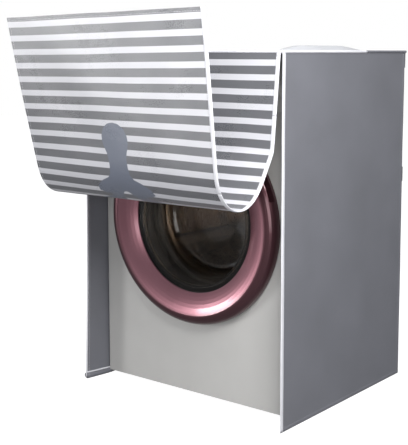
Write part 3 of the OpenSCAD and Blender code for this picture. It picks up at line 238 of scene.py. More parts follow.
def strewn(name, turned):
    """A node group that puts one Piece, stretched to Size, on each point, turned as turned(tree) gives it."""
    tree = bpy.data.node_groups.new(name, "GeometryNodeTree")
    tree.interface.new_socket("Mesh", in_out="OUTPUT", socket_type="NodeSocketGeometry")
    for key, kind in (("Mesh", "Geometry"), ("Piece", "Object"), ("Size", "Vector"), ("Finish", "Material")):
        tree.interface.new_socket(key, in_out="INPUT", socket_type="NodeSocket" + kind)
    given = add(tree, "NodeGroupInput").outputs
    piece = add(tree, "GeometryNodeObjectInfo", {"Object": given["Piece"]})
    copies = add(tree, "GeometryNodeInstanceOnPoints", {
        "Points": given["Mesh"], "Instance": piece.outputs["Geometry"], "Rotation": turned(tree),
        "Scale": given["Size"]})
    solid = add(tree, "GeometryNodeRealizeInstances", {0: copies.outputs[0]})
    faced = add(tree, "GeometryNodeSetMaterial", {0: solid.outputs[0], "Material": given["Finish"]})
    add(tree, "NodeGroupOutput", {0: faced.outputs[0]})
    return tree


def grown(name, mesh, tree, **values):
    """Runs the node group on the mesh and keeps what it makes as a plain mesh object."""
    seed = placed(name + "_seed", mesh)
    modifier = seed.modifiers.new("grow", "NODES")
    modifier.node_group = tree
    for item in tree.interface.items_tree:
        if item.in_out == "INPUT" and item.name in values:
            modifier[item.identifier] = values[item.name]
    bpy.context.view_layer.update()
    ready = seed.evaluated_get(bpy.context.evaluated_depsgraph_get())
    made = placed(name, bpy.data.meshes.new_from_object(ready))
    made.data.name = name
    seed.modifiers.clear()
    bpy.data.objects.remove(seed)
    return made


def as_driven(tree):
    """The turn that each screw was left at, up to a quarter round."""
    turn = add(tree, "FunctionNodeRandomValue", {"Seed": 7, 3: 1.5}, data_type="FLOAT")
    return add(tree, "ShaderNodeCombineXYZ", {1: turn.outputs[1]}).outputs[0]


# one screw head of unit size facing the back of the machine, with its rim rounded and its cross sunk
head_mesh = bmesh.new()
sides = 16
loops = [[head_mesh.verts.new((share * math.cos(k * 2 * math.pi / sides), rise,
                               share * math.sin(k * 2 * math.pi / sides))) for k in range(sides)]
         for share, rise in ((1.0, 0.0), (1.0, 0.45), (0.86, 0.82), (0.55, 1.0))]
cross = [arm_share if k % 4 == 0 else corner_share for k in range(sides)]
loops.append([head_mesh.verts.new((v.co.x * share, 1 - recess_deep / screw_high, v.co.z * share))
              for share, v in zip(cross, loops[-1])])
for lower, upper in zip(loops, loops[1:]):
    for k in range(sides):
        head_mesh.faces.new((lower[k], upper[k], upper[(k + 1) % sides], lower[(k + 1) % sides]))
head_mesh.faces.new(loops[-1])
head_mesh.faces.new(loops[0])
bmesh.ops.recalc_face_normals(head_mesh, faces=head_mesh.faces)
screw_head = bpy.data.meshes.new("screw_head")
head_mesh.to_mesh(screw_head)
head_mesh.free()
screw_pattern = placed("screw_head", screw_head)

screw_steel = skinned("zinc_plated_screw", ("#9c9a90", "#b4b2a8"), 3, 0.4, 0.02, (0.25, 0.4), Metallic=1.0)
low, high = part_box("back_service_panel")
inset = 9 * mm
points = [(x, high.y, z) for x in (low.x + inset, high.x - inset)
          for z in np.linspace(low.z + inset, high.z - inset, 3)]
points += [(0, high.y, z) for z in (low.z + inset, high.z - inset)]
screw_places = bpy.data.meshes.new("screw_places")
screw_places.from_pydata(points, [], [])
screws = grown("service_panel_screws", screw_places, strewn("screws", as_driven), Piece=screw_pattern,
               Size=(screw_r, screw_high, screw_r), Finish=screw_steel)
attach(screws, "machine")

# ---- Worktop ------------------------------------------------------------------------------------
# Chipboard faced with white melamine laminate, pressed against a finely pebbled plate, edge band
# and all, so it throws back a broad and broken gleam. It is screwed down from inside.
skinned("pebbled_laminate", ("#d3d2cf", "#dad9d6"), 60, 0.9, 0.06, (0.45, 0.55), "worktop", Specular_IOR_Level=0.45)

# ---- Feet ---------------------------------------------------------------------------------------
# Black rubber pads moulded on threaded studs, each locked by a nut against the base. The rubber is
# dull, and dusty in patches.
skinned("foot_rubber", ("#1c1c1d", "#2b2a29"), 14, 0.7, 0.08, (0.6, 0.8), "levelling_feet", Specular_IOR_Level=0.35)

# ---- Control fascia -----------------------------------------------------------------------------
# One ABS moulding across the front, spark-eroded to a fine satin, with the display window, the
# knob and the keys let into it.
skinned("satin_abs", ("#cfcecb", "#d6d5d2"), 80, 0.7, 0.04, (0.34, 0.42), "control_fascia", Specular_IOR_Level=0.5)

# smoked acrylic, polished, dark enough to hide the segments behind it
skinned("smoked_acrylic", ("#0d0e11", "#15161a"), 30, 2.5, 0.01, (0.05, 0.1), "display_window",
        Specular_IOR_Level=0.5, Coat_Weight=0.6, Coat_Roughness=0.03)

# the knob and the start key are the fascia's own plastic polished up, with a softer gloss
skinned("polished_abs", ("#dddcd9", "#e6e5e2"), 40, 1.2, 0.015, (0.2, 0.3), "programme_knob", "start_button",
        Specular_IOR_Level=0.5, Coat_Weight=0.35, Coat_Roughness=0.15)

# the other keys are through-dyed grey, spark-eroded like the fascia, so they look flatter
skinned("grey_key_abs", ("#7b7d80", "#86888b"), 20, 0.6, 0.03, (0.35, 0.45), "power_button", "option_button_1",
        "option_button_2", Specular_IOR_Level=0.5)

# the board behind the keys: glass epoxy under green resist, with copper tracks showing through
board, tree, shader = material("green_circuit_board", Specular_IOR_Level=0.5)
tracks = add(tree, "ShaderNodeTexBrick", {
    "Vector": place_mm(tree), "Color1": linear("#1e5a35"), "Color2": linear("#247040"), "Mortar": linear("#6d9a52"),
    "Scale": 1.0, "Mortar Size": 0.35, "Brick Width": 9.0, "Row Height": 3.2})
tree.links.new(tracks.outputs["Color"], shader.inputs["Base Color"])
shader.inputs["Roughness"].default_value = 0.32
dress(board, "control_board")

# ---- Detergent drawer and water inlet -----------------------------------------------------------
# The drawer and its housing are thin polypropylene mouldings, slightly waxy, with a front that
# matches the fascia. The siphon cap is blue-grey so that it is found when the drawer is cleaned.
skinned("waxy_polypropylene", ("#cdcdcb", "#d8d8d6"), 50, 1.0, 0.04, (0.38, 0.5), "detergent_drawer",
        "drawer_housing", Subsurface_Weight=0.05, Specular_IOR_Level=0.4)

# the siphon cap and the inlet valve: small mouldings, one dyed and one left milky
skinned("siphon_polypropylene", ("#8fa2b4", "#9bacbb"), 25, 0.8, 0.03, (0.35, 0.45), "siphon_cap",
        Specular_IOR_Level=0.4)

skinned("natural_nylon", ("#d5d0c3", "#dfdbd0"), 20, 0.8, 0.03, (0.35, 0.45), "inlet_valve", Subsurface_Weight=0.1,
        Specular_IOR_Level=0.4)

# ribbed hoses of black rubber between the drawer, the tub and the pump
skinned("hose_rubber", ("#1d1d1e", "#272727"), 18, 0.6, 0.05, (0.5, 0.65), "bellows_hoses", "drain_pipe",
        Specular_IOR_Level=0.35)

# ---- Door ---------------------------------------------------------------------------------------
# The ring is one moulding sprayed in a rose metallic, flake under lacquer. Outside its crest the
# colour darkens to plum: painted shade, for the dark that the ring's outer slope shows.
flake_mm, cloud_mm = 0.9, 70
crest_mm, rim_mm = 224.0, 236.0
rose, tree, shader = material("rose_metallic", Metallic=0.72, Coat_Weight=0.5, Coat_Roughness=0.12)
at = place_mm(tree)
flake = add(tree, "ShaderNodeTexVoronoi", {"Vector": at, "Scale": 1 / flake_mm, "Randomness": 1.0})
cloud = add(tree, "ShaderNodeTexNoise", {"Vector": at, "Scale": 1 / cloud_mm, "Detail": 2.0})
spark = add(tree, "ShaderNodeMix", {0: flake.outputs["Distance"], 6: linear("#a5747e"), 7: linear("#8f5f69")},
            data_type="RGBA")
ring_low, ring_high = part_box("door_ring")
centred = add(tree, "ShaderNodeVectorMath", {0: at, 1: (0, 0, (ring_low.z + ring_high.z) / 2 / mm)},
              operation="SUBTRACT")
flat = add(tree, "ShaderNodeVectorMath", {0: centred.outputs[0], 1: (1, 0, 1)}, operation="MULTIPLY")
radius = add(tree, "ShaderNodeVectorMath", {0: flat.outputs[0]}, operation="LENGTH")
# the base colour turns to dark plum from crest_mm out to rim_mm: painted shade on the ring's outer slope
rim = add(tree, "ShaderNodeMapRange", {0: radius.outputs["Value"], 1: crest_mm, 2: rim_mm})
shaded = add(tree, "ShaderNodeMix", {0: rim.outputs[0], 6: spark.outputs[2], 7: linear("#56353b")}, data_type="RGBA")
tree.links.new(shaded.outputs[2], shader.inputs["Base Color"])
gloss = add(tree, "ShaderNodeMapRange", {0: cloud.outputs["Fac"], 1: 0.3, 2: 0.7, 3: 0.3, 4: 0.36})
tree.links.new(gloss.outputs[0], shader.inputs["Roughness"])
facet = add(tree, "ShaderNodeBump", {"Strength": 0.25, "Distance": 0.05 * mm, "Height": flake.outputs["Distance"]})
tree.links.new(facet.outputs[0], shader.inputs["Normal"])
dress(rose, "door_ring", "door_grip")

# the frame behind it: black glass-filled nylon, whose fibres leave it dull
skinned("black_filled_nylon", ("#0c0c0d", "#131213"), 30, 0.5, 0.05, (0.45, 0.58), "door_frame", "door_lock",
        Specular_IOR_Level=0.4)

# the bowl: pressed borosilicate glass, faintly smoked, with the ripple that pressing leaves
ripple_mm = 22
bowl_glass, tree, shader = material("pressed_glass", Base_Color=linear("#c4b8aa"), Transmission_Weight=1.0,
                                    Roughness=0.015, IOR=1.47, Alpha=0.6)
ripple = add(tree, "ShaderNodeTexNoise", {"Vector": place_mm(tree), "Scale": 1 / ripple_mm, "Detail": 1.0})
relief = add(tree, "ShaderNodeBump", {"Strength": 0.2, "Distance": 0.4 * mm, "Height": ripple.outputs["Fac"]})
tree.links.new(relief.outputs[0], shader.inputs["Normal"])
dress(bowl_glass, "door_glass")

# hook, pins and hinge: turned and pressed steel, bright zinc
skinned("bright_steel", ("#9a9ca0", "#aeb0b4"), 12, 0.5, 0.02, (0.22, 0.34), "door_hook", "hook_pin",
        "door_hinge_arm", "door_hinge_bracket", "door_hinge_pin", Metallic=1.0)

# ---- Door gasket --------------------------------------------------------------------------------
# Bellows of grey EPDM rubber, moulded in one piece and clamped to the tub and to the front sheet.
# It is dull and talced when new, so it looks a little patchy.
skinned("grey_epdm", ("#4d4f52", "#616366"), 35, 0.9, 0.06, (0.55, 0.7), "door_gasket", Specular_IOR_Level=0.35)

# ---- Drum ---------------------------------------------------------------------------------------
# Stainless sheet, rolled and seamed, brushed round its length and punched all over with small
# holes on a staggered pitch. The lifters are warm grey polypropylene, clipped in from outside.
drum_low, drum_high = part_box("drum_wrapper")
drum_z = (drum_low.z + drum_high.z) / 2
drum_r_mm = (drum_high.x - drum_low.x) / 2 / mm
hole_pitch_mm = 17.0
hole_mm = 3.6


def from_axis(tree):
    """Where a point is from the drum's axis, in millimetres along X, Y and Z."""
    centred = add(tree, "ShaderNodeVectorMath", {0: place_mm(tree), 1: (0, 0, drum_z / mm)}, operation="SUBTRACT")
    return add(tree, "ShaderNodeSeparateXYZ", {0: centred.outputs[0]}).outputs


def punching(tree, at):
    """0 inside each hole of the punched pattern and 1 on the sheet between."""
    scaled = add(tree, "ShaderNodeVectorMath", {0: at, "Scale": 1 / hole_pitch_mm}, operation="SCALE")
    cell = add(tree, "ShaderNodeVectorMath", {0: scaled.outputs[0]}, operation="FRACTION")
    middle = add(tree, "ShaderNodeVectorMath", {0: cell.outputs[0], 1: (0.5, 0.5, 0)}, operation="SUBTRACT")
    on_sheet = add(tree, "ShaderNodeVectorMath", {0: middle.outputs[0], 1: (1, 1, 0)}, operation="MULTIPLY")
    reach = add(tree, "ShaderNodeVectorMath", {0: on_sheet.outputs[0]}, operation="LENGTH")
    return add(tree, "ShaderNodeMapRange", {0: reach.outputs["Value"], 1: hole_mm / hole_pitch_mm * 0.42,
                                            2: hole_mm / hole_pitch_mm * 0.58, 3: 0.0, 4: 1.0})


punched, tree, shader = material("punched_stainless", Metallic=1.0)
parts = from_axis(tree)
angle = add(tree, "ShaderNodeMath", {0: parts["Z"], 1: parts["X"]}, operation="ARCTAN2")
round_it = add(tree, "ShaderNodeMath", {0: angle.outputs[0], 1: drum_r_mm}, operation="MULTIPLY")
cells = add(tree, "ShaderNodeCombineXYZ", {0: round_it.outputs[0], 1: parts["Y"]})
turned = add(tree, "ShaderNodeVectorRotate", {"Vector": cells.outputs[0], "Angle": math.pi / 4},
             rotation_type="Z_AXIS")
hole = punching(tree, turned.outputs[0])
brush = add(tree, "ShaderNodeMapping", {"Vector": cells.outputs[0], "Scale": (0.02, 1.6, 1.0)})
lines = add(tree, "ShaderNodeTexNoise", {"Vector": brush.outputs[0], "Scale": 1.0, "Detail": 2.0})
sheet_tone = add(tree, "ShaderNodeMix", {0: lines.outputs["Fac"], 6: linear("#7f7366"), 7: linear("#a69b8e")},
                 data_type="RGBA")
# the holes are painted nearly black: painted shade, for the dark gap seen through them
pierced = add(tree, "ShaderNodeMix", {0: hole.outputs[0], 6: linear("#0c0b0a"), 7: sheet_tone.outputs[2]},
              data_type="RGBA")
tree.links.new(pierced.outputs[2], shader.inputs["Base Color"])
dull = add(tree, "ShaderNodeMapRange", {0: lines.outputs["Fac"], 1: 0.3, 2: 0.7, 3: 0.22, 4: 0.36})
tree.links.new(dull.outputs[0], shader.inputs["Roughness"])
relief = add(tree, "ShaderNodeBump", {"Strength": 0.8, "Distance": 0.6 * mm, "Height": hole.outputs[0]})
tree.links.new(relief.outputs[0], shader.inputs["Normal"])
dress(punched, "drum_wrapper")

# the front is brushed in rings on a lathe, and so is the back before it is punched
brushed, tree, shader = material("brushed_stainless", Metallic=1.0)
parts = from_axis(tree)
flat = add(tree, "ShaderNodeCombineXYZ", {0: parts["X"], 1: parts["Z"]})
radius = add(tree, "ShaderNodeVectorMath", {0: flat.outputs[0]}, operation="LENGTH")
lathe = add(tree, "ShaderNodeMath", {0: radius.outputs["Value"], 1: 1.1}, operation="MULTIPLY")
lines = add(tree, "ShaderNodeTexNoise", {"W": lathe.outputs[0], "Scale": 1.0, "Detail": 2.0}, noise_dimensions="1D")
sheet_tone = add(tree, "ShaderNodeMix", {0: lines.outputs["Fac"], 6: linear("#7d7064"), 7: linear("#a3978a")},
                 data_type="RGBA")
tree.links.new(sheet_tone.outputs[2], shader.inputs["Base Color"])
dull = add(tree, "ShaderNodeMapRange", {0: lines.outputs["Fac"], 1: 0.3, 2: 0.7, 3: 0.24, 4: 0.38})
tree.links.new(dull.outputs[0], shader.inputs["Roughness"])
dress(brushed, "drum_front")

pierced_back = brushed.copy()
pierced_back.name = "punched_stainless_disc"
tree = pierced_back.node_tree
shader, tone, flat = (tree.nodes[n.name] for n in (shader, sheet_tone, flat))
turned = add(tree, "ShaderNodeVectorRotate", {"Vector": flat.outputs[0], "Angle": math.pi / 4},
             rotation_type="Z_AXIS")
hole = punching(tree, turned.outputs[0])
# the holes are painted nearly black here too: painted shade, for the dark gap seen through them
pierced = add(tree, "ShaderNodeMix", {0: hole.outputs[0], 6: linear("#0c0b0a"), 7: tone.outputs[2]},
              data_type="RGBA")
tree.links.new(pierced.outputs[2], shader.inputs["Base Color"])
relief = add(tree, "ShaderNodeBump", {"Strength": 1.0, "Distance": 1.2 * mm, "Height": hole.outputs[0]})
tree.links.new(relief.outputs[0], shader.inputs["Normal"])
dress(pierced_back, "drum_back")

skinned("lifter_polypropylene", ("#83776e", "#8f847b"), 30, 0.8, 0.05, (0.4, 0.55), "drum_lifters",
        Specular_IOR_Level=0.4)

# ---- Tub and what turns the drum ----------------------------------------------------------------
# The tub is glass-filled polypropylene, the spider and pulley are cast aluminium with the
# sand-like skin of a pressure die, and the bearings, the motor's shaft and the springs are steel.
skinned("filled_polypropylene", ("#8f9294", "#a0a3a5"), 60, 0.9, 0.08, (0.45, 0.6), "tub_front", "tub_rear",
        Specular_IOR_Level=0.4)

skinned("die_cast_aluminium", ("#8e9092", "#a7a9ab"), 16, 0.8, 0.12, (0.42, 0.58), "drum_spider", "drum_pulley",
        Metallic=1.0)

skinned("ground_bearing_steel", ("#a1a3a6", "#b9bbbe"), 8, 0.3, 0.01, (0.14, 0.24), "drum_bearings", "motor_pulley",
        "suspension_springs", Metallic=1.0)

skinned("belt_rubber", ("#191919", "#232222"), 12, 0.4, 0.05, (0.55, 0.7), "drive_belt", Specular_IOR_Level=0.35)

# the motor's case is its own stack of laminations, which show as fine dark lines
leaf_mm = 2.0
motor_steel, tree, shader = material("motor_lamination_steel", Metallic=0.9)
along = add(tree, "ShaderNodeSeparateXYZ", {0: place_mm(tree)})
leaves = add(tree, "ShaderNodeMath", {0: along.outputs["Y"], 1: 2 * math.pi / leaf_mm}, operation="MULTIPLY")
edge = add(tree, "ShaderNodeMath", {0: leaves.outputs[0]}, operation="SINE")
shade = add(tree, "ShaderNodeMix", {0: edge.outputs[0], 6: linear("#5c5f63"), 7: linear("#7d8085")}, data_type="RGBA")
tree.links.new(shade.outputs[2], shader.inputs["Base Color"])
shader.inputs["Roughness"].default_value = 0.45
relief = add(tree, "ShaderNodeBump", {"Strength": 0.6, "Distance": 0.15 * mm, "Height": edge.outputs[0]})
tree.links.new(relief.outputs[0], shader.inputs["Normal"])
dress(motor_steel, "drive_motor")

# the heater's tube has blued where it has been hot
skinned("blued_heater_tube", ("#6d6a6e", "#86807c"), 10, 0.5, 0.03, (0.3, 0.45), "heater", Metallic=1.0)

# the weights are cast concrete with a smooth float face and fine sand in it
skinned("cast_concrete", ("#8a8881", "#a3a199"), 7, 1.1, 0.4, (0.8, 0.95), "counterweights", Specular_IOR_Level=0.3)

# the dampers are dark nylon tubes, and the pump's body is undyed and waxy like the drawer
skinned("damper_nylon", ("#303335", "#3c3f41"), 20, 0.7, 0.04, (0.4, 0.5), "dampers", Specular_IOR_Level=0.4)

skinned("pump_polypropylene", ("#c3c1ba", "#cfcdc7"), 24, 0.8, 0.05, (0.4, 0.5), "drain_pump",
        Specular_IOR_Level=0.4)

# ---- Dust cover ---------------------------------------------------------------------------------
# A fitted cover of grey coated polyester: a top, two sides that reach down to the floor and ahead
# of the door, and a hem and two webbing straps behind. The front edges are bound in white tape.
# The weave is drawn coarser than it is, so that it shows.
cloth_thick = 1.4 * mm
side_reach = 71 * mm
right_flare, left_kick, left_sag = 3 * mm, 13 * mm, 3 * mm
top_low, top_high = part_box("cover_top")
right_low, right_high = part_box("cover_right_panel")
side_x = (right_low.x + right_high.x) / 2
top_z = (top_low.z + top_high.z) / 2
front_y, back_y = right_low.y, right_high.y
foot_z, head_z = right_low.z, right_high.z


def woven(name, threads_mm, shades, rough, sheen):
    """A close plain weave on the piece's own UV map, in metres; returns the material, its tree, its shader, its UV
    in millimetres and a patchy shade of the two colours."""
    cloud_mm, slub_mm, slub_share = 140, 2.5, 0.35
    made, tree, shader = material(name, Sheen_Weight=sheen, Sheen_Roughness=0.4, Specular_IOR_Level=0.35)
    flat = add(tree, "ShaderNodeUVMap")
    at = add(tree, "ShaderNodeVectorMath", {0: flat.outputs[0], "Scale": 1000.0}, operation="SCALE")
    phase = add(tree, "ShaderNodeVectorMath", {0: at.outputs[0], "Scale": math.pi / threads_mm}, operation="SCALE")
    threads = add(tree, "ShaderNodeVectorMath", {0: phase.outputs[0]}, operation="SINE")
    way = add(tree, "ShaderNodeSeparateXYZ", {0: threads.outputs[0]})
    over = add(tree, "ShaderNodeMath", {0: way.outputs["X"], 1: way.outputs["Y"]}, operation="MULTIPLY")
    cloud = add(tree, "ShaderNodeTexNoise", {"Vector": at.outputs[0], "Scale": 1 / cloud_mm, "Detail": 3.0})
    slub = add(tree, "ShaderNodeTexNoise", {"Vector": at.outputs[0], "Scale": 1 / slub_mm, "Detail": 1.0})
    mixed = add(tree, "ShaderNodeMath", {0: slub.outputs["Fac"], 1: slub_share, 2: cloud.outputs["Fac"]},
                operation="MULTIPLY_ADD")
    share = add(tree, "ShaderNodeMapRange", {0: mixed.outputs[0], 1: 0.4, 2: 0.95})
    shade = add(tree, "ShaderNodeMix", {0: share.outputs[0], 6: linear(shades[0]), 7: linear(shades[1])},
                data_type="RGBA")
    gloss = add(tree, "ShaderNodeMapRange", {0: mixed.outputs[0], 1: 0.4, 2: 0.95, 3: rough[0], 4: rough[1]})
    tree.links.new(gloss.outputs[0], shader.inputs["Roughness"])
    tree.links.new(shade.outputs[2], shader.inputs["Base Color"])
    relief = add(tree, "ShaderNodeBump", {"Strength": 0.5, "Distance": 0.12 * mm, "Height": over.outputs[0]})
    tree.links.new(relief.outputs[0], shader.inputs["Normal"])
    return made, tree, shader, at.outputs[0], shade.outputs[2]


def lay_flat(mesh, flat):
    """Gives each corner the flat place of its point, in metres, on the UV map; both faces share the places."""
    corner = np.empty(len(mesh.loops), np.int32)
    mesh.loops.foreach_get("vertex_index", corner)
    mesh.uv_layers[0].data.foreach_set("uv", flat[corner % len(flat)].ravel())


def cloth(name, grid, thick, finish):
    """A thin closed sheet through a grid of points, with its flat size in metres on its UV map."""
    rows, cols = grid.shape[:2]
    along = np.gradient(grid, axis=0)
    across = np.gradient(grid, axis=1)
    out = np.cross(across, along)
    out /= np.linalg.norm(out, axis=2, keepdims=True)
    points = np.concatenate([(grid + out * thick / 2).reshape(-1, 3), (grid - out * thick / 2).reshape(-1, 3)])
    u = np.concatenate([[0], np.cumsum(np.linalg.norm(np.diff(grid[rows // 2], axis=0), axis=1))])
    v = np.concatenate([[0], np.cumsum(np.linalg.norm(np.diff(grid[:, cols // 2], axis=0), axis=1))])
    flat = np.stack(np.meshgrid(u, v), -1).reshape(-1, 2)
    here = np.arange(rows * cols).reshape(rows, cols)
    far = here + rows * cols
    quads = [np.stack([here[:-1, :-1], here[:-1, 1:], here[1:, 1:], here[1:, :-1]], -1).reshape(-1, 4),
             np.stack([far[:-1, :-1], far[1:, :-1], far[1:, 1:], far[:-1, 1:]], -1).reshape(-1, 4)]
    for a, b in ((here[0], far[0]), (far[-1], here[-1]), (far[:, 0], here[:, 0]), (here[:, -1], far[:, -1])):
        quads.append(np.stack([a[:-1], b[:-1], b[1:], a[1:]], -1))
    mesh = bpy.data.meshes.new(name)
    mesh.from_pydata(points.tolist(), [], np.concatenate(quads).tolist())
    mesh.uv_layers.new(name="UVMap")
    lay_flat(mesh, flat)
    mesh.materials.append(finish)
    mesh.shade_smooth()
    mesh.set_sharp_from_angle(angle=1.0)
    return placed(name, mesh)


def wave(a, b, seed):
    """A slow, smooth unevenness of about -1 to 1 over two directions in metres, the same each run."""
    longest = 0.45
    turns = np.random.default_rng(seed)
    total = 0
    for k in range(5):
        pitch = longest / (1 + 0.7 * k)
        heading, phase = turns.uniform(0, 2 * math.pi, 2)
        total = total + np.sin(2 * math.pi * (a * math.cos(heading) + b * math.sin(heading)) / pitch + phase) / (1 + k)
    return total / 1.9


def off_side(seed):
    """How far the side cloth stands off its flat place, unevenly."""
    return np.maximum(0.6 + 0.9 * wave(y_grid, z_grid, seed), -0.6) * mm


# the top is the same cloth as the sides, drawn in a paler grey: painted light, for the light that falls on it from
# above; it is given more sheen as well
top_cloth = woven("coated_polyester_painted_lighter", 1.5, ("#b3b4b8", "#bdbec2"), (0.5, 0.6), 0.3)[0]
cover_cloth = woven("coated_polyester", 1.5, ("#75767c", "#7f8087"), (0.5, 0.6), 0.08)[0]
y_grid, z_grid = np.meshgrid(np.linspace(front_y, back_y - 6 * mm, 90), np.linspace(foot_z, head_z, 120))
fall = (head_z - z_grid) / (head_z - foot_z)
free = np.clip((front_y + side_reach - y_grid) / side_reach, 0, 1)
ease = off_side(3) * np.sin(math.pi * np.clip(fall, 0.02, 1) ** 0.7)
right_grid = np.stack([side_x + ease + right_flare * fall ** 2, y_grid, z_grid], -1)
right = cloth("cover_right_cloth", right_grid, cloth_thick, cover_cloth)

# the left side hangs free ahead of the cabinet, where the stiff roll of its hem pushes the foot out
ease = off_side(5) * (1 - free)
sag = left_sag * np.sin(math.pi * np.clip((fall - 0.02) / 0.98, 0, 1)) ** 0.9 * free ** 1.3
kick = left_kick * fall ** 2 * free
left_grid = np.stack([-side_x - ease + sag - kick, y_grid - 0.1 * sag, z_grid], -1)
left = cloth("cover_left_cloth", left_grid[:, ::-1], cloth_thick, cover_cloth)

# the top is cut with ease, which gathers in one long soft hump behind the right front corner
x_grid, y_grid = np.meshgrid(np.linspace(top_low.x, top_high.x, 120), np.linspace(top_low.y, top_high.y, 100))
inset = np.minimum.reduce([x_grid - top_low.x, top_high.x - x_grid, y_grid - top_low.y, top_high.y - y_grid])
hump_wide, hump_high, hump_way = 225 * mm, 13 * mm, (0.78, 0.63)
crosswise = (hump_way[0] * (x_grid - top_high.x) + hump_way[1] * (y_grid - top_low.y)) / hump_wide


def bulge(share):
    """How far a slack fold stands up at this share of its width, from 0 to 1."""
    share = np.clip(share, 0, 1)
    return np.clip(share / 0.2, 0, 1) ** 0.7 * np.clip((1 - share) / 0.3, 0, 1) ** 0.8


lift = hump_high * bulge(crosswise) * np.clip((x_grid - 0.1) / 0.1, 0, 1) * np.clip(inset / (14 * mm), 0.15, 1)
lift += 0.8 * mm * (1 + wave(x_grid, y_grid, 8)) * np.clip(inset / (60 * mm), 0, 1)
top = cloth("cover_top_cloth", np.stack([x_grid, y_grid, top_z + lift], -1), cloth_thick, top_cloth)
for piece, node in ((right, "cover_right_panel"), (left, "cover_left_panel"), (top, "cover_top")):
    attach(piece, "machine")
    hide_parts(node)

# the back is open but for a hem under the top and two polypropylene webbing straps, each joined
# in the middle by hook-and-loop tape
webbing = woven("polypropylene_webbing", 2.4, ("#5f6064", "#6d6e72"), (0.55, 0.7), 0.15)[0]
straps_low, straps_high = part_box("cover_back_straps")
strap_wide, tab_wide, tab_half, hem_deep = 38 * mm, 34 * mm, 45 * mm, 40 * mm


def band(name, half, low_z, high_z, off, sway, seed, columns, finish):
    """A band of cloth across the back, off its seat by this much and swaying by that much."""
    x_grid, z_grid = np.meshgrid(np.linspace(-half, half, columns)[::-1], np.linspace(low_z, high_z, 8))
    y_grid = straps_low.y + off + sway * (1 + wave(x_grid, z_grid, seed))
    return cloth(name, np.stack([x_grid, y_grid, z_grid], -1), cloth_thick, finish)


hem = band("cover_back_hem", side_x, straps_high.z - hem_deep, straps_high.z, 0.8 * mm, 0.4 * mm, 4, 60, cover_cloth)
straps = []
for level in (210 * mm, 520 * mm):
    tab_low = level + (strap_wide - tab_wide) / 2
    straps += [band(f"cover_strap_{level / mm:.0f}", side_x, level, level + strap_wide, 0.8 * mm, 0.5 * mm, 6, 60,
                    webbing),
               band(f"cover_strap_tab_{level / mm:.0f}", tab_half, tab_low, tab_low + tab_wide, 3 * mm, 0, 6, 20,
                    webbing)]
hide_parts("cover_back_straps")
for piece in (hem, *straps):
    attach(piece, "machine")

# White polyester binding, folded over the front edges and stitched down: nine millimetres wide on
# both faces, with the slight pucker that the stitches pull into it.
tape_wide = 9 * mm
tape_thick = 3.2 * mm
pucker_mm = 25
tape_cloth, tree, shader, at = woven("white_binding_tape", 1.1, ("#dedee3", "#ececf0"), (0.5, 0.62), 0.1)[:4]
pucker = add(tree, "ShaderNodeTexWave", {"Vector": at, "Scale": 1 / pucker_mm, "Distortion": 1.5, "Detail": 1.0},
             bands_direction="X")
relief = add(tree, "ShaderNodeBump", {"Strength": 0.4, "Distance": 0.35 * mm, "Height": pucker.outputs["Fac"]})
tree.links.new(relief.outputs[0], shader.inputs["Normal"])


def swept(name, line, sides, ups, section, finish):
    """A closed strip of the given section, in metres along sides and ups, swept along a line."""
    line, sides, ups = (np.asarray(a, float) for a in (line, sides, ups))
    count, around = len(line), len(section)
    points = np.stack([line + a * sides + b * ups for a, b in section], 1).reshape(-1, 3)
    here = np.arange(count * around).reshape(count, around)
    ahead = np.roll(here, -1, axis=1)
    quads = np.stack([here[:-1], here[1:], ahead[1:], ahead[:-1]], -1).reshape(-1, 4)
    faces = quads.tolist() + [here[0].tolist(), here[-1][::-1].tolist()]
    mesh = bpy.data.meshes.new(name)
    mesh.from_pydata(points.tolist(), [], faces)
    body = bmesh.new()
    body.from_mesh(mesh)
    bmesh.ops.recalc_face_normals(body, faces=body.faces)
    body.to_mesh(mesh)
    body.free()
    run = np.concatenate([[0], np.cumsum(np.linalg.norm(np.diff(line, axis=0), axis=1))])
    girth = np.linspace(0, 2 * sum(abs(b) + abs(a) for a, b in section) / around * 3, around)
    mesh.uv_layers.new(name="UVMap")
    lay_flat(mesh, np.stack([np.repeat(run, around), np.tile(girth, count)], -1))
    mesh.materials.append(finish)
    mesh.shade_smooth()
    return placed(name, mesh)


def oval(half_wide, half_high, sides):
    """The corners of an oval section."""
    return [(half_wide * math.cos(a), half_high * math.sin(a)) for a in np.arange(sides) * 2 * math.pi / sides]


w, t = tape_wide, tape_thick
tape_section = [(w, 0.2 * t), (0.93 * w, 0.42 * t), (0.5 * w, 0.5 * t), (0.12 * w, 0.46 * t), (-0.1 * w, 0.26 * t),
                (-0.15 * w, 0), (-0.1 * w, -0.26 * t), (0.12 * w, -0.46 * t), (0.5 * w, -0.5 * t),
                (0.93 * w, -0.42 * t), (w, -0.2 * t)]
bead_r = 3.4 * mm
bead_section = oval(bead_r, bead_r, 10)


def edge_of(piece_grid, side):
    """The edge line of a grid, the way into the cloth and the cloth's normal along it."""
    if side.endswith("col"):
        piece_grid = piece_grid.swapaxes(0, 1)
    edge, within = (0, 1) if side.startswith("first") else (-1, -2)
    line = piece_grid[edge]
    into = piece_grid[within] - line
    into /= np.linalg.norm(into, axis=1, keepdims=True)
    run = np.gradient(line, axis=0)
    normal = np.cross(run, into)
    return line, into, normal / np.linalg.norm(normal, axis=1, keepdims=True)


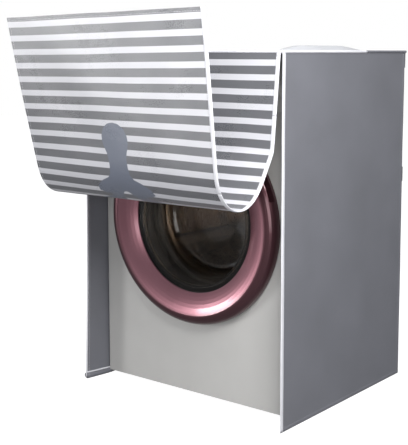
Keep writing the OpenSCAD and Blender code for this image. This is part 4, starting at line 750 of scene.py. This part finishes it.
# the white tape runs down the front edges and along the front seam; the back and foot are hemmed
# with a double turn of the cloth itself
flat_section = [(a, 0.75 * b) for a, b in tape_section]
inside_narrow = [(a if b >= 0 else 0.3 * a, b) for a, b in tape_section]
bindings, hems = [], []
for side, grid in (("right", right_grid), ("left", left_grid)):
    line, into, normal = edge_of(grid, "first_col")
    bindings.append(swept(f"cover_{side}_binding_front", line, into, normal,
                          tape_section if side == "right" else inside_narrow, tape_cloth))
    for where in ("last_col", "first_row"):
        line, into, normal = edge_of(grid, where)
        hems.append(swept(f"cover_{side}_hem_{where}", line, into, normal, flat_section, cover_cloth))
bead_at = np.linspace(front_y, back_y, 90)
for side, sign in (("right", 1), ("left", -1)):
    for part, first, last, finish in (("front", 0, 58, tape_cloth), ("back", 57, 90, cover_cloth)):
        run = bead_at[first:last]
        line = np.stack([sign * side_x + 0 * run, run, top_z + 0 * run], -1)
        piece = swept(f"cover_{side}_piping_{part}", line, (1, 0, 0), (0, 0, 1), bead_section, finish)
        (bindings if finish is tape_cloth else hems).append(piece)
run = np.linspace(-side_x, side_x, 100)
for name, y, finish in (("front", front_y - 1.5 * mm, tape_cloth), ("back", back_y, cover_cloth)):
    line = np.stack([run, y + 0 * run, top_z + 0 * run], -1)
    piece = swept(f"cover_{name}_piping", line, (0, 1, 0), (0, 0, 1), bead_section, finish)
    (bindings if finish is tape_cloth else hems).append(piece)

# the left foot, ahead of the cabinet: a stiff roll of cloth with a white edge showing above it
roll_wide, roll_high = 9 * mm, 8 * mm
foot = left_grid[0, :40]
roll_section = oval(roll_wide, roll_high, 14)
spread = np.linspace(1, 0.5, 40)[:, None]
line = foot + (3 * mm, 0, roll_high - foot_z)
hems.append(swept("cover_left_foot_roll", line, spread * (1, 0, 0), spread * (0, 0, 1), roll_section, cover_cloth))
line = foot + (4 * mm, 0, 17 * mm - foot_z) - (1 - spread) * (0, 0, 3 * mm)
bindings.append(swept("cover_left_foot_edge", line, (0.45, 0, 0), (0, 0, 0.6), bead_section, tape_cloth))
for piece in hems:
    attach(piece, "machine")
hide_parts("cover_binding")
for piece in bindings:
    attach(piece, "machine")

# ---- Front flap ---------------------------------------------------------------------------------
# One length of striped satin-faced polyester, sewn along the front of the top. It hangs in front
# of the fascia, turns forward in one round fold over the door, and stands up again in front. It
# bends at the seam, under the seam strip and at the ends of four short folds.
flap_nodes = ("flap_seam_strip", "flap_upper", "flap_fold_1", "flap_fold_2", "flap_fold_3", "flap_fold_4",
              "flap_lower")
node_long = [0.018, 0.244, 0.060, 0.060, 0.060, 0.060, 0.350]
flap_wide = 0.594
flap_thick = 1.3 * mm
folds = [j for j in frame["joints"] if "flap" in j["child"]]
seam_at = Vector(folds[0]["pos_m"])
joint_at = np.cumsum([0] + node_long)
flap_long = joint_at[-1]
# each edge falls at a lean, turns between two lengths and rises at another angle; on the right the
# cloth first breaks outwards at a soft corner, and on the left it droops more before it turns
right_edge = dict(lean=0.103, corner=0.444, corner_at=0.205, turn=0.274, turned=0.5355, rise=3.052, curl=3.02,
                  aside=-10.5 * mm)
left_edge = dict(lean=0.096, corner=0, corner_at=0, turn=0.2525, turned=0.504, rise=2.918, curl=2.968,
                 aside=-17 * mm)
corner_wide = 0.025
aside_from = 0.4
wave_out, wave_up = 1.8 * mm, 1.2 * mm
run = np.linspace(0, flap_long, 853)


def eased(share):
    """Goes from 0 to 1 without a jerk at either end."""
    share = np.clip(share, 0, 1)
    return share * share * (3 - 2 * share)


def edge_line(lean, corner, corner_at, turn, turned, rise, curl, aside):
    """The side view of one edge of the flap along its length."""
    angle = lean + corner * eased((run - corner_at) / corner_wide)
    angle += (rise - lean - corner) * eased((run - turn) / (turned - turn))
    angle += (curl - rise) * np.clip((run - turned) / (flap_long - turned), 0, 1) ** 2
    step = np.diff(run)
    y = seam_at.y - np.concatenate([[0], np.cumsum(np.sin(angle[:-1]) * step)])
    z = seam_at.z - np.concatenate([[0], np.cumsum(np.cos(angle[:-1]) * step)])
    return np.stack([aside * np.clip((run - aside_from) / (flap_long - aside_from), 0, 1), y, z], -1)


edges = edge_line(**left_edge), edge_line(**right_edge)


def flap_point(x, s):
    """Where the cloth is, at x across and s along it from the seam."""
    share = (x / flap_wide + 0.5)[..., None]
    ends = [np.stack([np.interp(s, run, e[:, k]) for k in range(3)], -1) for e in edges]
    at = ends[0] * (1 - share) + ends[1] * share
    at[..., 0] += x
    slack = np.clip(s / 0.1, 0, 1) * np.clip((flap_wide / 2 - np.abs(x)) / 0.08, 0.25, 1)
    at[..., 1] += wave_out * wave(x, s, 11) * slack
    at[..., 2] += wave_up * wave(x, s, 12) * slack
    return at


# the stripes run across the flap, white for two parts in five; a stag's head is printed over them,
# upright while the flap hangs, and its outline is given from the middle and from the seam
stripe_pitch_mm = 32.45
stripe_phase = 0.7604
white_share = 0.42
stripe_blur = 0.012
stag = [(0, 610), (17, 607), (32, 597), (41, 580), (42, 566), (38, 552), (33, 541), (30, 528), (30, 510), (33, 492),
        (42, 482), (64, 474), (86, 460), (92, 444), (74, 436), (56, 436), (60, 426), (84, 418), (116, 404), (100, 396),
        (74, 398), (54, 404), (52, 394), (66, 382), (98, 372), (122, 354), (96, 356), (66, 366), (56, 370), (60, 354),
        (74, 334), (90, 312), (66, 324), (48, 344), (36, 370), (30, 398), (24, 422), (16, 438), (8, 446), (0, 448)]


def stag_mm(x, s):
    """How far inside the stag's outline a point of the cloth is, in millimetres; negative outside."""
    px, ps = np.abs(x) / mm, s / mm
    inside = np.zeros(px.shape, bool)
    near = np.full(px.shape, 1e9)
    for (x1, s1), (x2, s2) in zip(stag, stag[1:] + stag[:1]):
        if x1 or x2:
            dx, ds = x2 - x1, s2 - s1
            share = np.clip(((px - x1) * dx + (ps - s1) * ds) / (dx * dx + ds * ds), 0, 1)
            near = np.minimum(near, np.hypot(px - x1 - share * dx, ps - s1 - share * ds))
        crosses = ((s1 > ps) != (s2 > ps)) & (px < (x2 - x1) * (ps - s1) / (s2 - s1 + 1e-9) + x1)
        inside ^= crosses
    return np.where(inside, near, -near)


striped, tree, shader, at, shade = woven("striped_satin", 1.3, ("#66676b", "#707175"), (0.26, 0.31), 0.1)
way = add(tree, "ShaderNodeSeparateXYZ", {0: at})
phase = add(tree, "ShaderNodeMath", {0: way.outputs["Y"], 1: 1 / stripe_pitch_mm, 2: stripe_phase},
            operation="MULTIPLY_ADD")
part = add(tree, "ShaderNodeMath", {0: phase.outputs[0]}, operation="FRACT")
off = add(tree, "ShaderNodeMath", {0: part.outputs[0], 1: 0.5}, operation="SUBTRACT")
away = add(tree, "ShaderNodeMath", {0: off.outputs[0]}, operation="ABSOLUTE")
white = add(tree, "ShaderNodeMapRange", {
    0: away.outputs[0], 1: white_share / 2 - stripe_blur, 2: white_share / 2 + stripe_blur, 3: 1.0, 4: 0.0})
banded = add(tree, "ShaderNodeMix", {0: white.outputs[0], 6: shade, 7: linear("#d8d8dd")}, data_type="RGBA")
depth = add(tree, "ShaderNodeAttribute", attribute_name="stag_mm")
print_on = add(tree, "ShaderNodeMapRange", {0: depth.outputs["Fac"], 1: -0.5, 2: 0.5})
printed = add(tree, "ShaderNodeMix", {0: print_on.outputs[0], 6: banded.outputs[2], 7: linear("#6f7583")},
              data_type="RGBA")
tree.links.new(printed.outputs[2], shader.inputs["Base Color"])
shader.inputs["Specular IOR Level"].default_value = 0.9

# bindings and hems are sewn down with white thread that shows on both faces, a stitch every 4.2 mm
thread = skinned("polyester_thread", ("#cfcfd4", "#dcdce0"), 5, 0.3, 0.03, (0.5, 0.6), Specular_IOR_Level=0.3)
stitch_every = 4.2 * mm
stitch_long, stitch_thick = 3.06 * mm, 0.9 * mm
stitch_in = 0.8 * tape_wide
body = bmesh.new()
bmesh.ops.create_uvsphere(body, u_segments=6, v_segments=4, radius=0.5)
stitch_mesh = bpy.data.meshes.new("stitch")
body.to_mesh(stitch_mesh)
body.free()
stitch_pattern = placed("stitch", stitch_mesh)


def along_row(tree):
    """The turn that lays a stitch along its row."""
    along = add(tree, "GeometryNodeInputNamedAttribute", {"Name": "along"}, data_type="FLOAT_VECTOR")
    return add(tree, "FunctionNodeAlignRotationToVector", {"Vector": along.outputs[0]}, axis="X").outputs[0]


seam_tree = strewn("stitches", along_row)


def stitched(name, borders):
    """Rows of stitches on both faces along these borders, each (line, way in, normal) and its thickness."""
    points, ways = [], []
    for (line, into, normal), thick in borders:
        length = np.concatenate([[0], np.cumsum(np.linalg.norm(np.diff(line, axis=0), axis=1))])
        at = np.arange(stitch_every / 2, length[-1], stitch_every)
        for face in (0.5, -0.5):
            row = line + stitch_in * into + face * thick * normal
            here = np.stack([np.interp(at, length, row[:, k]) for k in range(3)], -1)
            ahead = np.stack([np.interp(at + 1 * mm, length, row[:, k]) for k in range(3)], -1)
            points.append(here)
            ways.append(ahead - here)
    places = bpy.data.meshes.new(name + "_places")
    places.from_pydata(np.concatenate(points).tolist(), [], [])
    way = places.attributes.new("along", "FLOAT_VECTOR", "POINT")
    way.data.foreach_set("vector", np.concatenate(ways).astype(np.float32).ravel())
    return grown(name, places, seam_tree, Piece=stitch_pattern, Size=(stitch_long, stitch_thick, stitch_thick),
                 Finish=thread)


cover_stitches = stitched("cover_stitches", [(edge_of(right_grid, "first_col"), tape_thick),
                                            (edge_of(left_grid, "first_col"), tape_thick)])
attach(cover_stitches, "machine")

# the cloth is cut between its bends, so that each length of it bends only once; its right edge is
# bound in tape, and the left edge and the free end are hemmed
cuts = [0, 0.0105, 0.140, *[(a + b) / 2 for a, b in zip(joint_at[2:6], joint_at[3:7])], flap_long]
strip_bend, fold_bend = 8 * mm, 27 * mm
bends = [(0.5 * mm, 9.5 * mm), (joint_at[1] - strip_bend, joint_at[1] + strip_bend)]
bends += [(at - fold_bend, at + fold_bend) for at in joint_at[2:7]]
columns = np.linspace(-flap_wide / 2, flap_wide / 2, 110)
for k, node in enumerate(flap_nodes):
    count = max(4, round((cuts[k + 1] - cuts[k]) / (4 * mm)) + 1)
    x_grid, s_grid = np.meshgrid(columns, np.linspace(cuts[k], cuts[k + 1], count))
    grid = flap_point(x_grid, s_grid)
    strip = cloth(f"flap_cloth_{k + 1}", grid, flap_thick, striped)
    lay_flat(strip.data, np.stack([x_grid, s_grid], -1).reshape(-1, 2))
    deep = strip.data.attributes.new("stag_mm", "FLOAT", "POINT")
    deep.data.foreach_set("value", np.tile(stag_mm(x_grid, s_grid).ravel(), 2).astype(np.float32))
    hemmed = ("first_col", "last_row") if node == "flap_lower" else ("first_col",)
    taped = edge_of(grid, "last_col")
    edging = [swept(f"flap_binding_{k + 1}", *taped, tape_section, tape_cloth),
              stitched(f"flap_stitches_{k + 1}", [(taped, tape_thick)] + [
                  (edge_of(grid, where), flap_thick) for where in hemmed])]
    begin, end = (Vector(flap_point(np.array(0.0), np.array(s))) for s in bends[k])
    for piece in (strip, *edging):
        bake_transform(piece)
    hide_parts(node)

for pattern in (screw_pattern, stitch_pattern):
    bpy.data.objects.remove(pattern)
low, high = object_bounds()
